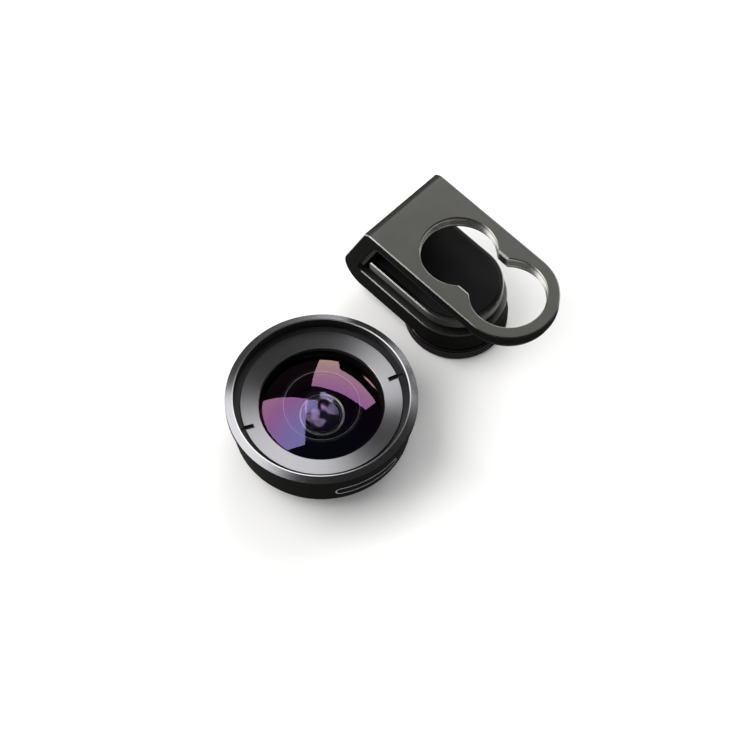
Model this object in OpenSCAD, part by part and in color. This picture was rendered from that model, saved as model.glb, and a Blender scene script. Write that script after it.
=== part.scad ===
// Clip-on lens for a phone: a C-shaped screw clip with two overlapping lens sockets,
// and the wide-angle lens unit that screws into either socket, lying face up beside it.
// Millimetres. The origin is the centre of the thumb knob's underside, on the screw axis.
// +X runs along the arms towards their tips, +Y across them, +Z up.

/* [Clip frame] */
// Wall left outside the lens sockets, which sets the width of the arms and the spine
socket_wall = 2.55; // [2:0.05:5]
// Height of the C, from the lower arm's underside to the upper arm's top
clip_h = 22.7; // [22:0.1:28]
// Thickness of the upper arm, which is the depth of its lens sockets
upper_t = 3.0; // [2.4:0.1:4]
// Thickness of the lower arm, which is the length of its tapped hole
lower_t = 5.9; // [4.5:0.1:7]
// Thickness of the spine, square to its face
spine_t = 3.5; // [2.5:0.1:4.5]
// Lean of the spine away from upright, outwards towards its foot
spine_lean = 21; // [10:1:25]
// Distance from the screw axis back to the spine's top corner, before rounding
spine_reach = 16.85; // [16.5:0.05:20]
// Radius of the bend between the upper arm and the spine
bend_r = 2.6; // [1:0.1:4]
// Radius of the heel between the spine and the lower arm
heel_r = 5.0; // [2:0.1:6]
// Radius of the throat's corner under the upper arm
throat_top_r = 0.5; // [0.2:0.1:1.5]
// Radius of the throat's corner above the lower arm
throat_low_r = 1.0; // [0.2:0.1:1.2]

/* [Lens sockets] */
// Clearance of each socket's thread round the lens's mount thread, on the radius
thread_gap = 0.05; // [0.03:0.01:0.1]
// Distance between the two sockets, along the arm
socket_pitch = 14.15; // [13:0.05:15]
// Width of the neck that joins the two sockets
neck_w = 11.5; // [9:0.1:11.8]
// Chamfer round each socket's mouth
socket_chamfer = 0.2; // [0.1:0.05:0.4]
// Chamfer along the neck's two walls
neck_chamfer = 0.45; // [0.2:0.05:0.6]

/* [Rubber pads] */
// Thickness of the pad under the upper arm
upper_pad_t = 1.3; // [0.8:0.1:1.6]
// Thickness of the pad on the spine's inner face
spine_pad_t = 0.8; // [0.5:0.1:1.0]
// Distance from the arm's edge in to each pad's edge
pad_inset = 0.5; // [0.2:0.1:1.5]
// Distance that the upper pad's cut-out clears the sockets' walls
pad_cut_clear = 0.6; // [0.3:0.1:1]

/* [Screw and thumb knob] */
// Radius of the thumb knob over its knurled rim
knob_r = 11.25; // [9:0.05:13]
// Height of the thumb knob
knob_h = 3.2; // [2.6:0.1:5]
// Chamfer on both rims of the thumb knob
knob_chamfer = 0.35; // [0.1:0.05:0.8]
// Gap between the thumb knob and the lower arm, as set in the picture
knob_gap = 0.3; // [0.25:0.05:2]
// Metal left under the knob's blind hole
knob_floor = 0.9; // [0.5:0.1:1.6]
// Radius of the clamp screw over its thread
screw_r = 2.5; // [2:0.1:3]
// Radius of the screw's neck, which turns in the pressure plate
screw_neck_r = 1.8; // [1.5:0.05:1.9]
// Running clearance round every shaft that turns, on the radius
run_gap = 0.05; // [0.02:0.01:0.1]
// Seating clearance between pieces that are assembled and stay put
seat_gap = 0.03; // [0.02:0.01:0.06]

/* [Pressure plate] */
// Gap between the lower arm and the pressure plate, as set in the picture
plate_lift = 1.9; // [1.9:0.1:3]
// Distance from the arm's edge in to the plate's edge
plate_inset = 0.85; // [0.4:0.05:2]
// Gap between the plate's straight end and the pad on the spine
plate_tail_gap = 0.55; // [0.45:0.05:2]
// Width of the raised rim round the plate's tray
tray_rim = 1.0; // [0.6:0.1:2]
// Depth of the tray that holds the plate's pad
tray_depth = 0.8; // [0.5:0.1:0.9]
// Height that the plate's pad stands above the rim
tray_pad_proud = 0.2; // [0.1:0.05:0.5]
// Thickness of the plate's web that the screw's neck turns in
plate_web = 1.0; // [0.8:0.05:1.1]
// Radius of the washer that hangs the plate on the screw
washer_r = 3.2; // [2.8:0.1:4]
// Thickness of that washer
washer_t = 0.4; // [0.3:0.05:0.45]
// Radius of the retaining screw's head
plate_screw_head_r = 2.2; // [1.8:0.1:2.6]
// Height of that head
plate_screw_head_h = 0.4; // [0.3:0.05:0.6]
// Radius of the retaining screw's shank
plate_screw_r = 1.0; // [0.8:0.05:1.2]
// Length of the retaining screw's shank
plate_screw_len = 3.2; // [2.5:0.1:5]

/* [Lens unit place] */
// Gap between the arms' edge and the lens unit's rim, as set in the picture
lens_gap = 9.45; // [2:0.05:30]
// Turn of the spanner slots about the lens axis, from +X
slot_turn = 66.5; // [0:0.5:180]

/* [Lens barrel] */
// Distance from the rim's edge in to the barrel's front edge
rim_proud = 0.25; // [0:0.05:0.5]
// Loss of radius along the barrel, from its front to its rear edge
barrel_taper = 1.05; // [0:0.05:2]
// Chamfer round the barrel's rear edge
barrel_chamfer = 0.7; // [0.3:0.1:1.2]
// Thickness of the web that carries the optics
web_t = 1.8; // [1.4:0.1:2.2]

/* [Front rim] */
// Radius of the rim's filter thread, at its minor line
filter_r = 18.3; // [16:0.05:24]
// Width of the rim outside that thread
rim_w = 1.7; // [1.4:0.05:3]
// Height of the rim above the barrel
rim_h = 1.9; // [1.5:0.1:3]
// Height of the rim's upright outer edge
rim_edge_h = 0.8; // [0.4:0.1:1.2]
// Chamfer at the mouth of the filter thread
rim_chamfer = 0.2; // [0.1:0.05:0.4]
// Wall of the spigot that locates the rim in the barrel
spigot_t = 0.6; // [0.4:0.05:0.7]
// Length of that spigot
spigot_len = 1.1; // [0.6:0.1:1.4]

/* [Retaining ring] */
// Width of the retaining ring, from the filter thread in to its bore
ring_w = 5.2; // [4:0.05:6.5]
// Width of the low flange outside its raised face
ring_step_w = 1.4; // [0.8:0.05:2]
// Thickness of the retaining ring's outer flange
ring_flange_t = 0.9; // [0.6:0.1:1.2]
// Height of the raised face's outer edge above the flange
ring_face_h = 0.6; // [0.3:0.1:1]
// Width of each spanner slot
slot_w = 1.0; // [0.6:0.1:1.6]
// Width of the face left between the bore and each spanner slot
slot_land = 1.8; // [1:0.1:2.5]
// Depth of each spanner slot below the flange's face
slot_sink = 0.3; // [0.1:0.1:0.5]

/* [Glass] */
// Distance that the front element's edge reaches out under the retaining ring
front_glass_lap = 1.5; // [0.8:0.1:2.2]
// Thickness of the front element's edge
front_edge_t = 2.4; // [1.8:0.1:3]
// Clearance of the dome's foot inside the retaining ring, on the radius
dome_clear = 0.1; // [0.05:0.05:0.5]
// Radius of curvature of the front element's outer dome
dome_curve = 26.0; // [24:0.5:40]
// Radius of curvature of the front element's hollow back
hollow_curve = 9.0; // [8:0.1:10]
// Thickness of the front element on the axis
front_centre_t = 2.4; // [1.5:0.1:3]
// Height of the black sleeve that the front element's edge rests on
sleeve_t = 2.8; // [2.2:0.1:4]
// Wall of that sleeve
sleeve_wall = 2.1; // [1:0.1:3]
// Width of the baffle that reaches in from the top of the sleeve
baffle_w = 4.8; // [3:0.1:5]
// Thickness of the baffle
baffle_t = 0.6; // [0.4:0.1:1]
// Thickness of the middle element's edge
middle_edge_t = 1.2; // [0.8:0.1:1.5]
// Radius of curvature of the middle element's dome
middle_curve = 8.5; // [7.5:0.1:12]
// Radius of curvature of the middle element's hollow back
middle_hollow_curve = 7.0; // [6:0.1:9]
// Thickness of the middle element on the axis
middle_centre_t = 1.4; // [1:0.1:2]
// Thickness of the rear crown element's edge
crown_edge_t = 1.0; // [0.8:0.1:1.2]
// Radius of curvature of the rear crown element's dome
crown_curve = 14.0; // [12:0.5:25]
// Radius of curvature of the cemented faces of the rear pair
cement_curve = 30.0; // [25:1:60]
// Thickness of the rear flint element's edge
flint_edge_t = 1.3; // [1.2:0.1:1.5]

/* [Mount ring] */
// Radius of the mount thread, at its pitch line
mount_r = 8.15; // [7.7:0.05:8.5]
// Length of the mount thread
mount_len = 2.6; // [2.2:0.1:3.5]
// Chamfer at the end of the mount thread
mount_chamfer = 0.3; // [0.1:0.05:0.5]
// Wall of the mount ring round the rear pair of elements
mount_wall = 1.57; // [1.2:0.01:2]
// Width of the mount ring's flange outside the mount thread
flange_w = 2.85; // [1.5:0.05:5]
// Thickness of the mount ring's flange
flange_t = 1.6; // [1.2:0.1:2.4]
// Step out from the mount thread to the spigot in the barrel's web
spigot_step = 0.42; // [0.2:0.01:0.8]
// Wall of that spigot round the middle element
mount_spigot_t = 1.64; // [1.2:0.01:2]
// Distance that the rear pair's ring sits inside the end of the mount thread
rear_recess = 0.2; // [0.1:0.05:0.6]
// Width of the ledge that the middle element sits on
ledge_w = 1.5; // [1:0.1:2]
// Thickness of that ledge
ledge_t = 0.4; // [0.3:0.1:0.6]
// Wall of the ring that holds the middle element
middle_ring_w = 0.6; // [0.4:0.05:1]
// Height of that ring
middle_ring_h = 0.8; // [0.5:0.1:1.2]
// Wall of the ring that holds the rear pair
rear_ring_w = 0.95; // [0.7:0.05:1.3]
// Height of that ring
rear_ring_h = 0.7; // [0.4:0.05:0.8]

/* [Hidden] */
$fn = 96;
// Overshoot of every cutting body past the face that it cuts
over = 0.5;

// Heights of the clip, from the ground up
low_bottom = knob_h + knob_gap;
low_top = low_bottom + lower_t;
clip_top = low_bottom + clip_h;
upper_bottom = clip_top - upper_t;
mid_z = (low_top + upper_bottom) / 2;
plate_bottom = low_top + plate_lift;
web_top = plate_bottom + plate_web;
neck_top = web_top + run_gap;
washer_top = neck_top + washer_t;
tray_floor = washer_top + plate_screw_head_h + run_gap;
plate_top = tray_floor + tray_depth;
plate_t = plate_top - plate_bottom;

// The spine's two faces, as places along X at a height z
lean_run = tan(spine_lean);
function spine_outer_x(z) = -spine_reach - (clip_top - z) * lean_run;
function spine_inner_x(z) = spine_outer_x(z) + spine_t / cos(spine_lean);
function spine_pad_x(z) = spine_inner_x(z) + spine_pad_t / cos(spine_lean);
plate_tail = spine_pad_x(plate_top) + plate_tail_gap;

// Plan of the arms: the upper one ends round the far socket, the lower one round the screw
socket_r = mount_r + thread_gap;
arm_r = socket_r + socket_wall;
arm_w = 2 * arm_r;
// Half-length of the neck's cut, which ends inside both sockets
neck_hit = sqrt(pow(socket_r, 2) - pow(neck_w / 2 + neck_chamfer, 2));
neck_run = socket_pitch / 2 - neck_hit + 0.3;

// Radii of the lens unit, all taken from its filter thread
rim_r = filter_r + rim_w;
barrel_r = rim_r - rim_proud;
barrel_rear_r = barrel_r - barrel_taper;
spigot_r = filter_r + spigot_t;
ring_face_r = filter_r - ring_step_w;
ring_bore_r = filter_r - ring_w;
slot_start_r = ring_bore_r + slot_land;
front_glass_r = ring_bore_r + front_glass_lap;
seat_r = front_glass_r + seat_gap;
dome_edge_r = ring_bore_r - dome_clear;
sleeve_bore_r = front_glass_r - sleeve_wall;
baffle_r = sleeve_bore_r - baffle_w;
lens_offset = arm_r + lens_gap + rim_r;

// Heights of the lens unit, which rests on the end of its mount thread
flange_top = mount_len + flange_t;
web_z = flange_top + web_t;
sleeve_top = web_z + sleeve_t;
ring_seat = sleeve_top + front_edge_t;
spigot_bottom = ring_seat + ring_flange_t;
barrel_top = spigot_bottom + spigot_len;
rim_top = barrel_top + rim_h;
// Height of a dome of a given curve above its foot of radius r
function dome_rise(curve, r) = curve - sqrt(pow(curve, 2) - pow(r, 2));
dome_h = dome_rise(dome_curve, dome_edge_r);
dome_top = ring_seat + dome_h;
hollow_top = dome_top - front_centre_t;

// Inside of the mount ring, whose rear pair is set from the end of the mount thread
mount_spigot_r = mount_r + spigot_step;
flange_r = mount_r + flange_w;
mount_bore_r = mount_r - mount_wall;
rear_glass_r = mount_bore_r - seat_gap;
middle_bore_r = mount_spigot_r - mount_spigot_t;
middle_glass_r = middle_bore_r - seat_gap;
ledge_r = middle_glass_r - ledge_w;
flint_bottom = rear_recess + rear_ring_h;
crown_bottom = flint_bottom + flint_edge_t;
ledge_bottom = crown_bottom + crown_edge_t;
ledge_top = ledge_bottom + ledge_t;
middle_top = ledge_top + middle_edge_t;
middle_dome_r = middle_glass_r - middle_ring_w - 0.1;
middle_apex = middle_top + dome_rise(middle_curve, middle_dome_r);
crown_dome_r = ledge_r - 0.2;
crown_apex = ledge_bottom + dome_rise(crown_curve, crown_dome_r);
cement_apex = crown_bottom - dome_rise(cement_curve, rear_glass_r);

// Unit vector along v
function unit(v) = v / norm(v);

// Points along the arc of radius r that rounds the corner b between a and c
function corner(a, b, c, r, n = 8) =
    let (u = unit(a - b),
         v = unit(c - b),
         half = acos(u * v) / 2,
         centre = b + unit(u + v) * r / sin(half),
         from = b + u * r / tan(half) - centre,
         to = b + v * r / tan(half) - centre,
         start = atan2(from[1], from[0]),
         turn = (atan2(to[1], to[0]) - start + 540) % 360 - 180)
    [for (i = [0:n]) centre + r * [cos(start + turn * i / n), sin(start + turn * i / n)]];

// Closed outline p with corner i rounded to the radius r[i], or left sharp at 0
function rounded(p, r) =
    [for (i = [0:len(p) - 1])
        each (r[i] > 0
            ? corner(p[(i + len(p) - 1) % len(p)], p[i], p[(i + 1) % len(p)], r[i])
            : [p[i]])];

// Plan of an arm: a strip from x0 to a round end centred at xc, drawn in by inset
module arm_plan(x0, xc, inset = 0) {
    r = arm_r - inset;
    translate([xc, 0]) circle(r = r);
    translate([x0, -r]) square([xc - x0, 2 * r]);
}

// Side outline of the C, in X and Z, carried across a width wider than the arms
module c_profile() {
    tip = socket_pitch + arm_w;
    outline = [[-spine_reach, clip_top], [tip, clip_top],
               [tip, upper_bottom], [spine_inner_x(upper_bottom), upper_bottom],
               [spine_inner_x(low_top), low_top], [tip, low_top],
               [tip, low_bottom], [spine_outer_x(low_bottom), low_bottom]];
    radii = [bend_r, 0, 0, throat_top_r, throat_low_r, 0, 0, heel_r];
    rotate([90, 0, 0])
        linear_extrude(arm_w + 2 * over, center = true)
            polygon(rounded(outline, radii));
}

// One lens socket: the threaded wall and the chamfer round its mouth
module socket_cut(x) {
    translate([x, 0, upper_bottom - over])
        cylinder(h = upper_t + 2 * over, r = socket_r);
    translate([x, 0, clip_top - socket_chamfer])
        cylinder(h = socket_chamfer + over, r1 = socket_r, r2 = socket_r + socket_chamfer + over);
}

// The neck between the sockets, with a chamfer along both walls
module neck_cut() {
    half = neck_w / 2;
    flare = half + neck_chamfer + over;
    section = [[-half, upper_bottom - over], [half, upper_bottom - over],
               [half, clip_top - neck_chamfer], [flare, clip_top + over],
               [-flare, clip_top + over], [-half, clip_top - neck_chamfer]];
    translate([socket_pitch / 2 - neck_run, 0, 0])
        rotate([90, 0, 90]) linear_extrude(2 * neck_run) polygon(section);
}

module clip_frame() {
    x_back = spine_outer_x(low_bottom) - over;
    color("dimgray")
    difference() {
        intersection() {
            c_profile();
            union() {
                translate([0, 0, mid_z])
                    linear_extrude(clip_top - mid_z + over) arm_plan(x_back, socket_pitch);
                translate([0, 0, low_bottom - over])
                    linear_extrude(mid_z - low_bottom + over) arm_plan(x_back, 0);
            }
        }
        socket_cut(0);
        socket_cut(socket_pitch);
        neck_cut();
        translate([0, 0, low_bottom - over])
            cylinder(h = lower_t + 2 * over, r = screw_r + run_gap);
    }
}

module upper_pad() {
    back = spine_pad_x(upper_bottom - upper_pad_t) + seat_gap;
    cut_r = socket_r + pad_cut_clear;
    cut_w = neck_w + 2 * pad_cut_clear;
    color("black")
    translate([0, 0, upper_bottom - upper_pad_t])
    difference() {
        linear_extrude(upper_pad_t) arm_plan(back, socket_pitch, pad_inset);
        translate([0, 0, -over]) linear_extrude(upper_pad_t + 2 * over) {
            circle(r = cut_r);
            translate([socket_pitch, 0]) circle(r = cut_r);
            translate([0, -cut_w / 2]) square([socket_pitch, cut_w]);
        }
    }
}

// A strip along the leaning inner face, from the throat's lower corner to the upper pad
module spine_pad() {
    low = low_top + 2 * throat_low_r;
    high = upper_bottom - upper_pad_t - seat_gap;
    color("black")
    rotate([90, 0, 0])
        linear_extrude(arm_w - 2 * pad_inset, center = true)
            polygon([[spine_inner_x(low), low], [spine_pad_x(low), low],
                     [spine_pad_x(high), high], [spine_inner_x(high), high]]);
}

module pressure_plate() {
    color("silver")
    difference() {
        translate([0, 0, plate_bottom])
            linear_extrude(plate_t) arm_plan(plate_tail, 0, plate_inset);
        translate([0, 0, tray_floor])
            linear_extrude(tray_depth + over)
                arm_plan(plate_tail + tray_rim, 0, plate_inset + tray_rim);
        translate([0, 0, plate_bottom - over])
            cylinder(h = plate_web + 2 * over, r = screw_neck_r + run_gap);
        translate([0, 0, web_top])
            cylinder(h = plate_t, r = washer_r + 2 * run_gap);
    }
}

module plate_pad() {
    inset = plate_inset + tray_rim + seat_gap;
    color([0.12, 0.12, 0.12])
    translate([0, 0, tray_floor])
        linear_extrude(tray_depth + tray_pad_proud)
            arm_plan(plate_tail + tray_rim + seat_gap, 0, inset);
}

// The stud: its foot sits in the knob, its shoulder pushes the plate, its neck turns in it
module clamp_screw() {
    hole_r = plate_screw_r + seat_gap;
    color("gray")
    difference() {
        union() {
            translate([0, 0, knob_floor])
                cylinder(h = plate_bottom - knob_floor, r = screw_r);
            translate([0, 0, knob_floor])
                cylinder(h = neck_top - knob_floor, r = screw_neck_r);
        }
        translate([0, 0, neck_top - plate_screw_len - seat_gap])
            cylinder(h = plate_screw_len + over, r = hole_r);
    }
}

module thumb_knob() {
    c = knob_chamfer;
    socket = screw_r + seat_gap;
    color([0.1, 0.1, 0.1])
    rotate_extrude()
        polygon([[0, 0], [knob_r - c, 0], [knob_r, c], [knob_r, knob_h - c],
                 [knob_r - c, knob_h], [socket, knob_h], [socket, knob_floor],
                 [0, knob_floor]]);
}

module plate_washer() {
    color("silver")
    translate([0, 0, neck_top])
        difference() {
            cylinder(h = washer_t, r = washer_r);
            translate([0, 0, -over])
                cylinder(h = washer_t + 2 * over, r = plate_screw_r + seat_gap);
        }
}

module plate_screw() {
    color("silver") {
        translate([0, 0, washer_top])
            cylinder(h = plate_screw_head_h, r = plate_screw_head_r);
        translate([0, 0, neck_top - plate_screw_len])
            cylinder(h = washer_top + seat_gap - neck_top + plate_screw_len, r = plate_screw_r);
    }
}

// Sets a piece on the lens axis
module on_lens_axis() {
    translate([0, -lens_offset, 0]) children();
}

module lens_barrel() {
    shelf_r = spigot_r + seat_gap;
    color([0.1, 0.1, 0.1])
    on_lens_axis()
        rotate_extrude()
            polygon([[mount_spigot_r + seat_gap, flange_top],
                     [barrel_rear_r - barrel_chamfer, flange_top],
                     [barrel_rear_r, flange_top + barrel_chamfer],
                     [barrel_r, barrel_top],
                     [shelf_r, barrel_top],
                     [shelf_r, ring_seat],
                     [seat_r, ring_seat],
                     [seat_r, web_z],
                     [mount_spigot_r + seat_gap, web_z]]);
}

module front_rim() {
    lip_r = filter_r + rim_chamfer;
    color("silver")
    on_lens_axis()
        rotate_extrude()
            polygon([[filter_r, spigot_bottom], [spigot_r, spigot_bottom],
                     [spigot_r, barrel_top], [rim_r, barrel_top],
                     [rim_r, barrel_top + rim_edge_h], [lip_r, rim_top],
                     [filter_r, rim_top - rim_chamfer]]);
}

module retaining_ring() {
    flange_z = ring_seat + ring_flange_t;
    color("lightgray")
    on_lens_axis()
        difference() {
            rotate_extrude()
                polygon([[ring_bore_r, ring_seat], [spigot_r, ring_seat],
                         [spigot_r, flange_z], [ring_face_r, flange_z],
                         [ring_face_r, flange_z + ring_face_h], [ring_bore_r, flange_z]]);
            for (turn = [0, 180])
                rotate(slot_turn + turn)
                    translate([slot_start_r, -slot_w / 2, flange_z - slot_sink])
                        cube([spigot_r, slot_w, ring_face_h + slot_sink + over]);
        }
}

// Black sleeve under the front element's edge, with the baffle that hides the wall behind it
module element_sleeve() {
    color("black")
    on_lens_axis()
        rotate_extrude()
            polygon([[sleeve_bore_r, web_z], [front_glass_r, web_z],
                     [front_glass_r, sleeve_top], [baffle_r, sleeve_top],
                     [baffle_r, sleeve_top - baffle_t],
                     [sleeve_bore_r, sleeve_top - baffle_t]]);
}

// Sphere of radius r whose highest point is at z
module ball_under(z, r) {
    translate([0, 0, z - r]) sphere(r = r, $fn = 240);
}

// Sphere of radius r whose lowest point is at z
module ball_over(z, r) {
    translate([0, 0, z + r]) sphere(r = r, $fn = 240);
}

module front_element() {
    color([0.35, 0.25, 0.5])
    on_lens_axis()
        difference() {
            union() {
                translate([0, 0, sleeve_top]) cylinder(h = front_edge_t, r = front_glass_r);
                intersection() {
                    ball_under(dome_top, dome_curve);
                    translate([0, 0, sleeve_top + front_edge_t / 2])
                        cylinder(h = dome_h + front_edge_t, r = dome_edge_r);
                }
            }
            ball_under(hollow_top, hollow_curve);
        }
}

module mount_ring() {
    c = mount_chamfer;
    color([0.15, 0.15, 0.15])
    on_lens_axis()
        rotate_extrude()
            polygon([[mount_bore_r, 0], [mount_r - c, 0], [mount_r, c], [mount_r, mount_len],
                     [flange_r, mount_len], [flange_r, flange_top],
                     [mount_spigot_r, flange_top], [mount_spigot_r, web_z],
                     [middle_bore_r, web_z], [middle_bore_r, ledge_top],
                     [ledge_r, ledge_top], [ledge_r, ledge_bottom],
                     [mount_bore_r, ledge_bottom]]);
}

module middle_element() {
    color([0.5, 0.6, 0.8])
    on_lens_axis()
        difference() {
            union() {
                translate([0, 0, ledge_top]) cylinder(h = middle_edge_t, r = middle_glass_r);
                intersection() {
                    ball_under(middle_apex, middle_curve);
                    translate([0, 0, ledge_top + middle_edge_t / 2])
                        cylinder(h = middle_apex, r = middle_dome_r);
                }
            }
            ball_under(middle_apex - middle_centre_t, middle_hollow_curve);
        }
}

module middle_retainer() {
    color("black")
    on_lens_axis()
        translate([0, 0, middle_top])
            difference() {
                cylinder(h = middle_ring_h, r = middle_glass_r);
                translate([0, 0, -over])
                    cylinder(h = middle_ring_h + 2 * over, r = middle_glass_r - middle_ring_w);
            }
}

module rear_crown() {
    color([0.5, 0.6, 0.8])
    on_lens_axis()
        intersection() {
            union() {
                translate([0, 0, cement_apex])
                    cylinder(h = ledge_bottom - cement_apex, r = rear_glass_r);
                intersection() {
                    ball_under(crown_apex, crown_curve);
                    translate([0, 0, crown_bottom + crown_edge_t / 2])
                        cylinder(h = 2 * crown_edge_t, r = crown_dome_r);
                }
            }
            ball_over(cement_apex, cement_curve);
        }
}

module rear_flint() {
    color([0.5, 0.6, 0.8])
    on_lens_axis()
        difference() {
            translate([0, 0, flint_bottom])
                cylinder(h = flint_edge_t - seat_gap, r = rear_glass_r);
            ball_over(cement_apex - seat_gap, cement_curve);
        }
}

module rear_retainer() {
    color("black")
    on_lens_axis()
        translate([0, 0, rear_recess])
            difference() {
                cylinder(h = rear_ring_h, r = rear_glass_r);
                translate([0, 0, -over])
                    cylinder(h = rear_ring_h + 2 * over, r = rear_glass_r - rear_ring_w);
            }
}

clip_frame();
upper_pad();
spine_pad();
pressure_plate();
plate_pad();
clamp_screw();
thumb_knob();
plate_washer();
plate_screw();
lens_barrel();
front_rim();
retaining_ring();
element_sleeve();
front_element();
mount_ring();
middle_element();
middle_retainer();
rear_crown();
rear_flint();
rear_retainer();
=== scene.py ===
"""Clip-on wide-angle lens for a phone: the screw clip with its joined lens sockets, and the lens unit beside it.

Every piece is a surface worked out with numpy on a grid of two parameters, in metres, in the CAD frame:
+X along the arms towards their tips, +Y across them, +Z up, the origin under the thumb knob.
"""

import bmesh
import bpy
import numpy as np
from mathutils import Matrix, Vector


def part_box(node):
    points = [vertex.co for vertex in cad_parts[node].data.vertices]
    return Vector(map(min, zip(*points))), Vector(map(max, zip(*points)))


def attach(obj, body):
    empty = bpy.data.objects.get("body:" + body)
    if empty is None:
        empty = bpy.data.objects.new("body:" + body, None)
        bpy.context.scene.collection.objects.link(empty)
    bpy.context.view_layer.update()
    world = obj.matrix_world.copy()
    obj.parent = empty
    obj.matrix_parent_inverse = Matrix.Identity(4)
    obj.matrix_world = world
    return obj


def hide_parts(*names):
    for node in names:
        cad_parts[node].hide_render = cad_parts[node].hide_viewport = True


bl_info = {
    "name": "Clip-on phone lens",
    "version": (1, 0, 0),
    "blender": (4, 5, 0),
    "location": "3D View > Sidebar > Lens Clip",
    "description": "Builds a screw clip with two joined lens sockets and its wide-angle lens unit",
    "category": "Object",
}

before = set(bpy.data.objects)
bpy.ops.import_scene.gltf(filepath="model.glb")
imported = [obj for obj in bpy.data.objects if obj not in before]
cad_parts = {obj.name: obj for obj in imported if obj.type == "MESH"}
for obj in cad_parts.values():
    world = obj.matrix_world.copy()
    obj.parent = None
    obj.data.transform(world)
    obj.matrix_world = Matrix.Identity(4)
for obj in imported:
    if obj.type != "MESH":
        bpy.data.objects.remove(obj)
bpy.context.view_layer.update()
MM = 0.001


def linear(code):
    """An sRGB hex colour as linear red, green, blue and alpha."""
    c = np.array([int(code[i : i + 2], 16) for i in (0, 2, 4)]) / 255.0
    c = np.where(c <= 0.04045, c / 12.92, ((c + 0.055) / 1.055) ** 2.4)
    return (*c.tolist(), 1.0)


def low_high(node):
    """A CAD node's lowest and highest corners as arrays, in metres."""
    low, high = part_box(node)
    return np.array(low), np.array(high)


CLIP_LOW, CLIP_HIGH = low_high("clip_frame")
KNOB_LOW, KNOB_HIGH = low_high("thumb_knob")
PLATE_LOW, PLATE_HIGH = low_high("pressure_plate")
RIM_LOW, RIM_HIGH = low_high("front_rim")
LENS_Y = float(RIM_LOW[1] + RIM_HIGH[1]) / 2


def length(name, about, value, low=0.0, high=0.1):
    """A length property in metres, shown in the scene's unit."""
    return bpy.props.FloatProperty(
        name=name, description=about, default=float(value), min=low, max=high,
        precision=5, unit="LENGTH", subtype="DISTANCE",
    )


def tint(name, about, code):
    """A colour property with its default from an sRGB hex value."""
    return bpy.props.FloatVectorProperty(
        name=name, description=about, default=linear(code), size=4,
        min=0.0, max=1.0, subtype="COLOR",
    )


class ClipSizes(bpy.types.PropertyGroup):
    """Sizes of the screw clip"""

    half_width: length("Half width", "Half the width across the arms", CLIP_HIGH[1])
    pitch: length("Socket distance", "Distance between the two lens sockets", CLIP_HIGH[0] - CLIP_HIGH[1])
    socket: length("Socket radius", "Radius of each socket at its thread's pitch line", 0.0082)
    neck: length("Neck half width", "Half the width of the neck between the sockets", 0.00575)
    neck_chamfer: length("Neck chamfer", "Chamfer along the neck's two walls", 0.00045)
    upper: length("Upper arm", "Thickness of the upper arm", 0.003)
    lower: length("Lower arm", "Thickness of the lower arm", 0.0059)
    spine: length("Spine", "Thickness of the spine, square to its face", 0.0035)
    lean: bpy.props.FloatProperty(
        name="Spine lean", description="Lean of the spine away from upright",
        default=float(np.radians(21)), min=0.1, max=0.6, subtype="ANGLE", unit="ROTATION",
    )
    reach: length("Spine reach", "Distance from the screw back to the spine's top corner", 0.01685)
    bend: length("Top bend", "Radius of the bend over the spine", 0.0026)
    heel: length("Heel", "Radius of the heel under the spine", 0.0051)
    edge: length("Edge chamfer", "Bright cut chamfer along the arms' edges", 0.0002)
    thread_pitch: length("Thread pitch", "Pitch of the lens threads", 0.00075)
    thread_depth: length("Thread depth", "Height of the lens threads over the pitch line", 0.00016)


class KnobSizes(bpy.types.PropertyGroup):
    """Sizes of the thumb knob, the screw and the pressure plate"""

    radius: length("Knob radius", "Radius over the knurl", KNOB_HIGH[0])
    height: length("Knob height", "Height of the knob", KNOB_HIGH[2])
    knurls: bpy.props.IntProperty(
        name="Knurls", description="Teeth of the diamond knurl round the rim",
        default=112, min=24, max=200,
    )
    knurl_depth: length("Knurl depth", "Depth of the knurl's valleys", 0.00024)
    screw: length("Screw radius", "Outside radius of the clamp screw", 0.0025)
    lead: length("Screw pitch", "Pitch of the clamp screw's thread", 0.0008)
    plate_edge: length("Plate chamfer", "Chamfer along the pressure plate's edges", 0.00025)
    tray_rim: length("Tray rim", "Width of the rim round the plate's pad", 0.001)


class LensSizes(bpy.types.PropertyGroup):
    """Sizes of the lens unit"""

    rim: length("Rim radius", "Outside radius of the front rim", RIM_HIGH[0])
    thread: length("Filter thread", "Radius of the filter thread's wall", 0.0183)
    barrel: length("Barrel radius", "Radius of the barrel under the rim", 0.01975)
    rear: length("Rear radius", "Radius of the barrel at its rear", 0.0187)
    ring_face: length("Ring face", "Outside radius of the retaining ring's raised face", 0.0169)
    ring_bore: length("Ring bore", "Inside radius of the retaining ring", 0.0131)
    slot_start: length("Slot start", "Radius that the spanner slots start from", 0.0149)
    slot_width: length("Slot width", "Width of the spanner slots", 0.001)
    slot_turn: bpy.props.FloatProperty(
        name="Slot turn", description="Turn of the spanner slots about the lens axis",
        default=float(np.radians(66.5)), subtype="ANGLE", unit="ROTATION",
    )
    dome: length("Front curve", "Radius of curvature of the front glass", 0.026)
    hollow: length("Hollow curve", "Radius of curvature of the front glass's back", 0.009)
    mark_turn: bpy.props.FloatProperty(
        name="Mark turn", description="Turn of the oval mark about the lens axis",
        default=float(np.radians(-13.5)), subtype="ANGLE", unit="ROTATION",
    )


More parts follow.
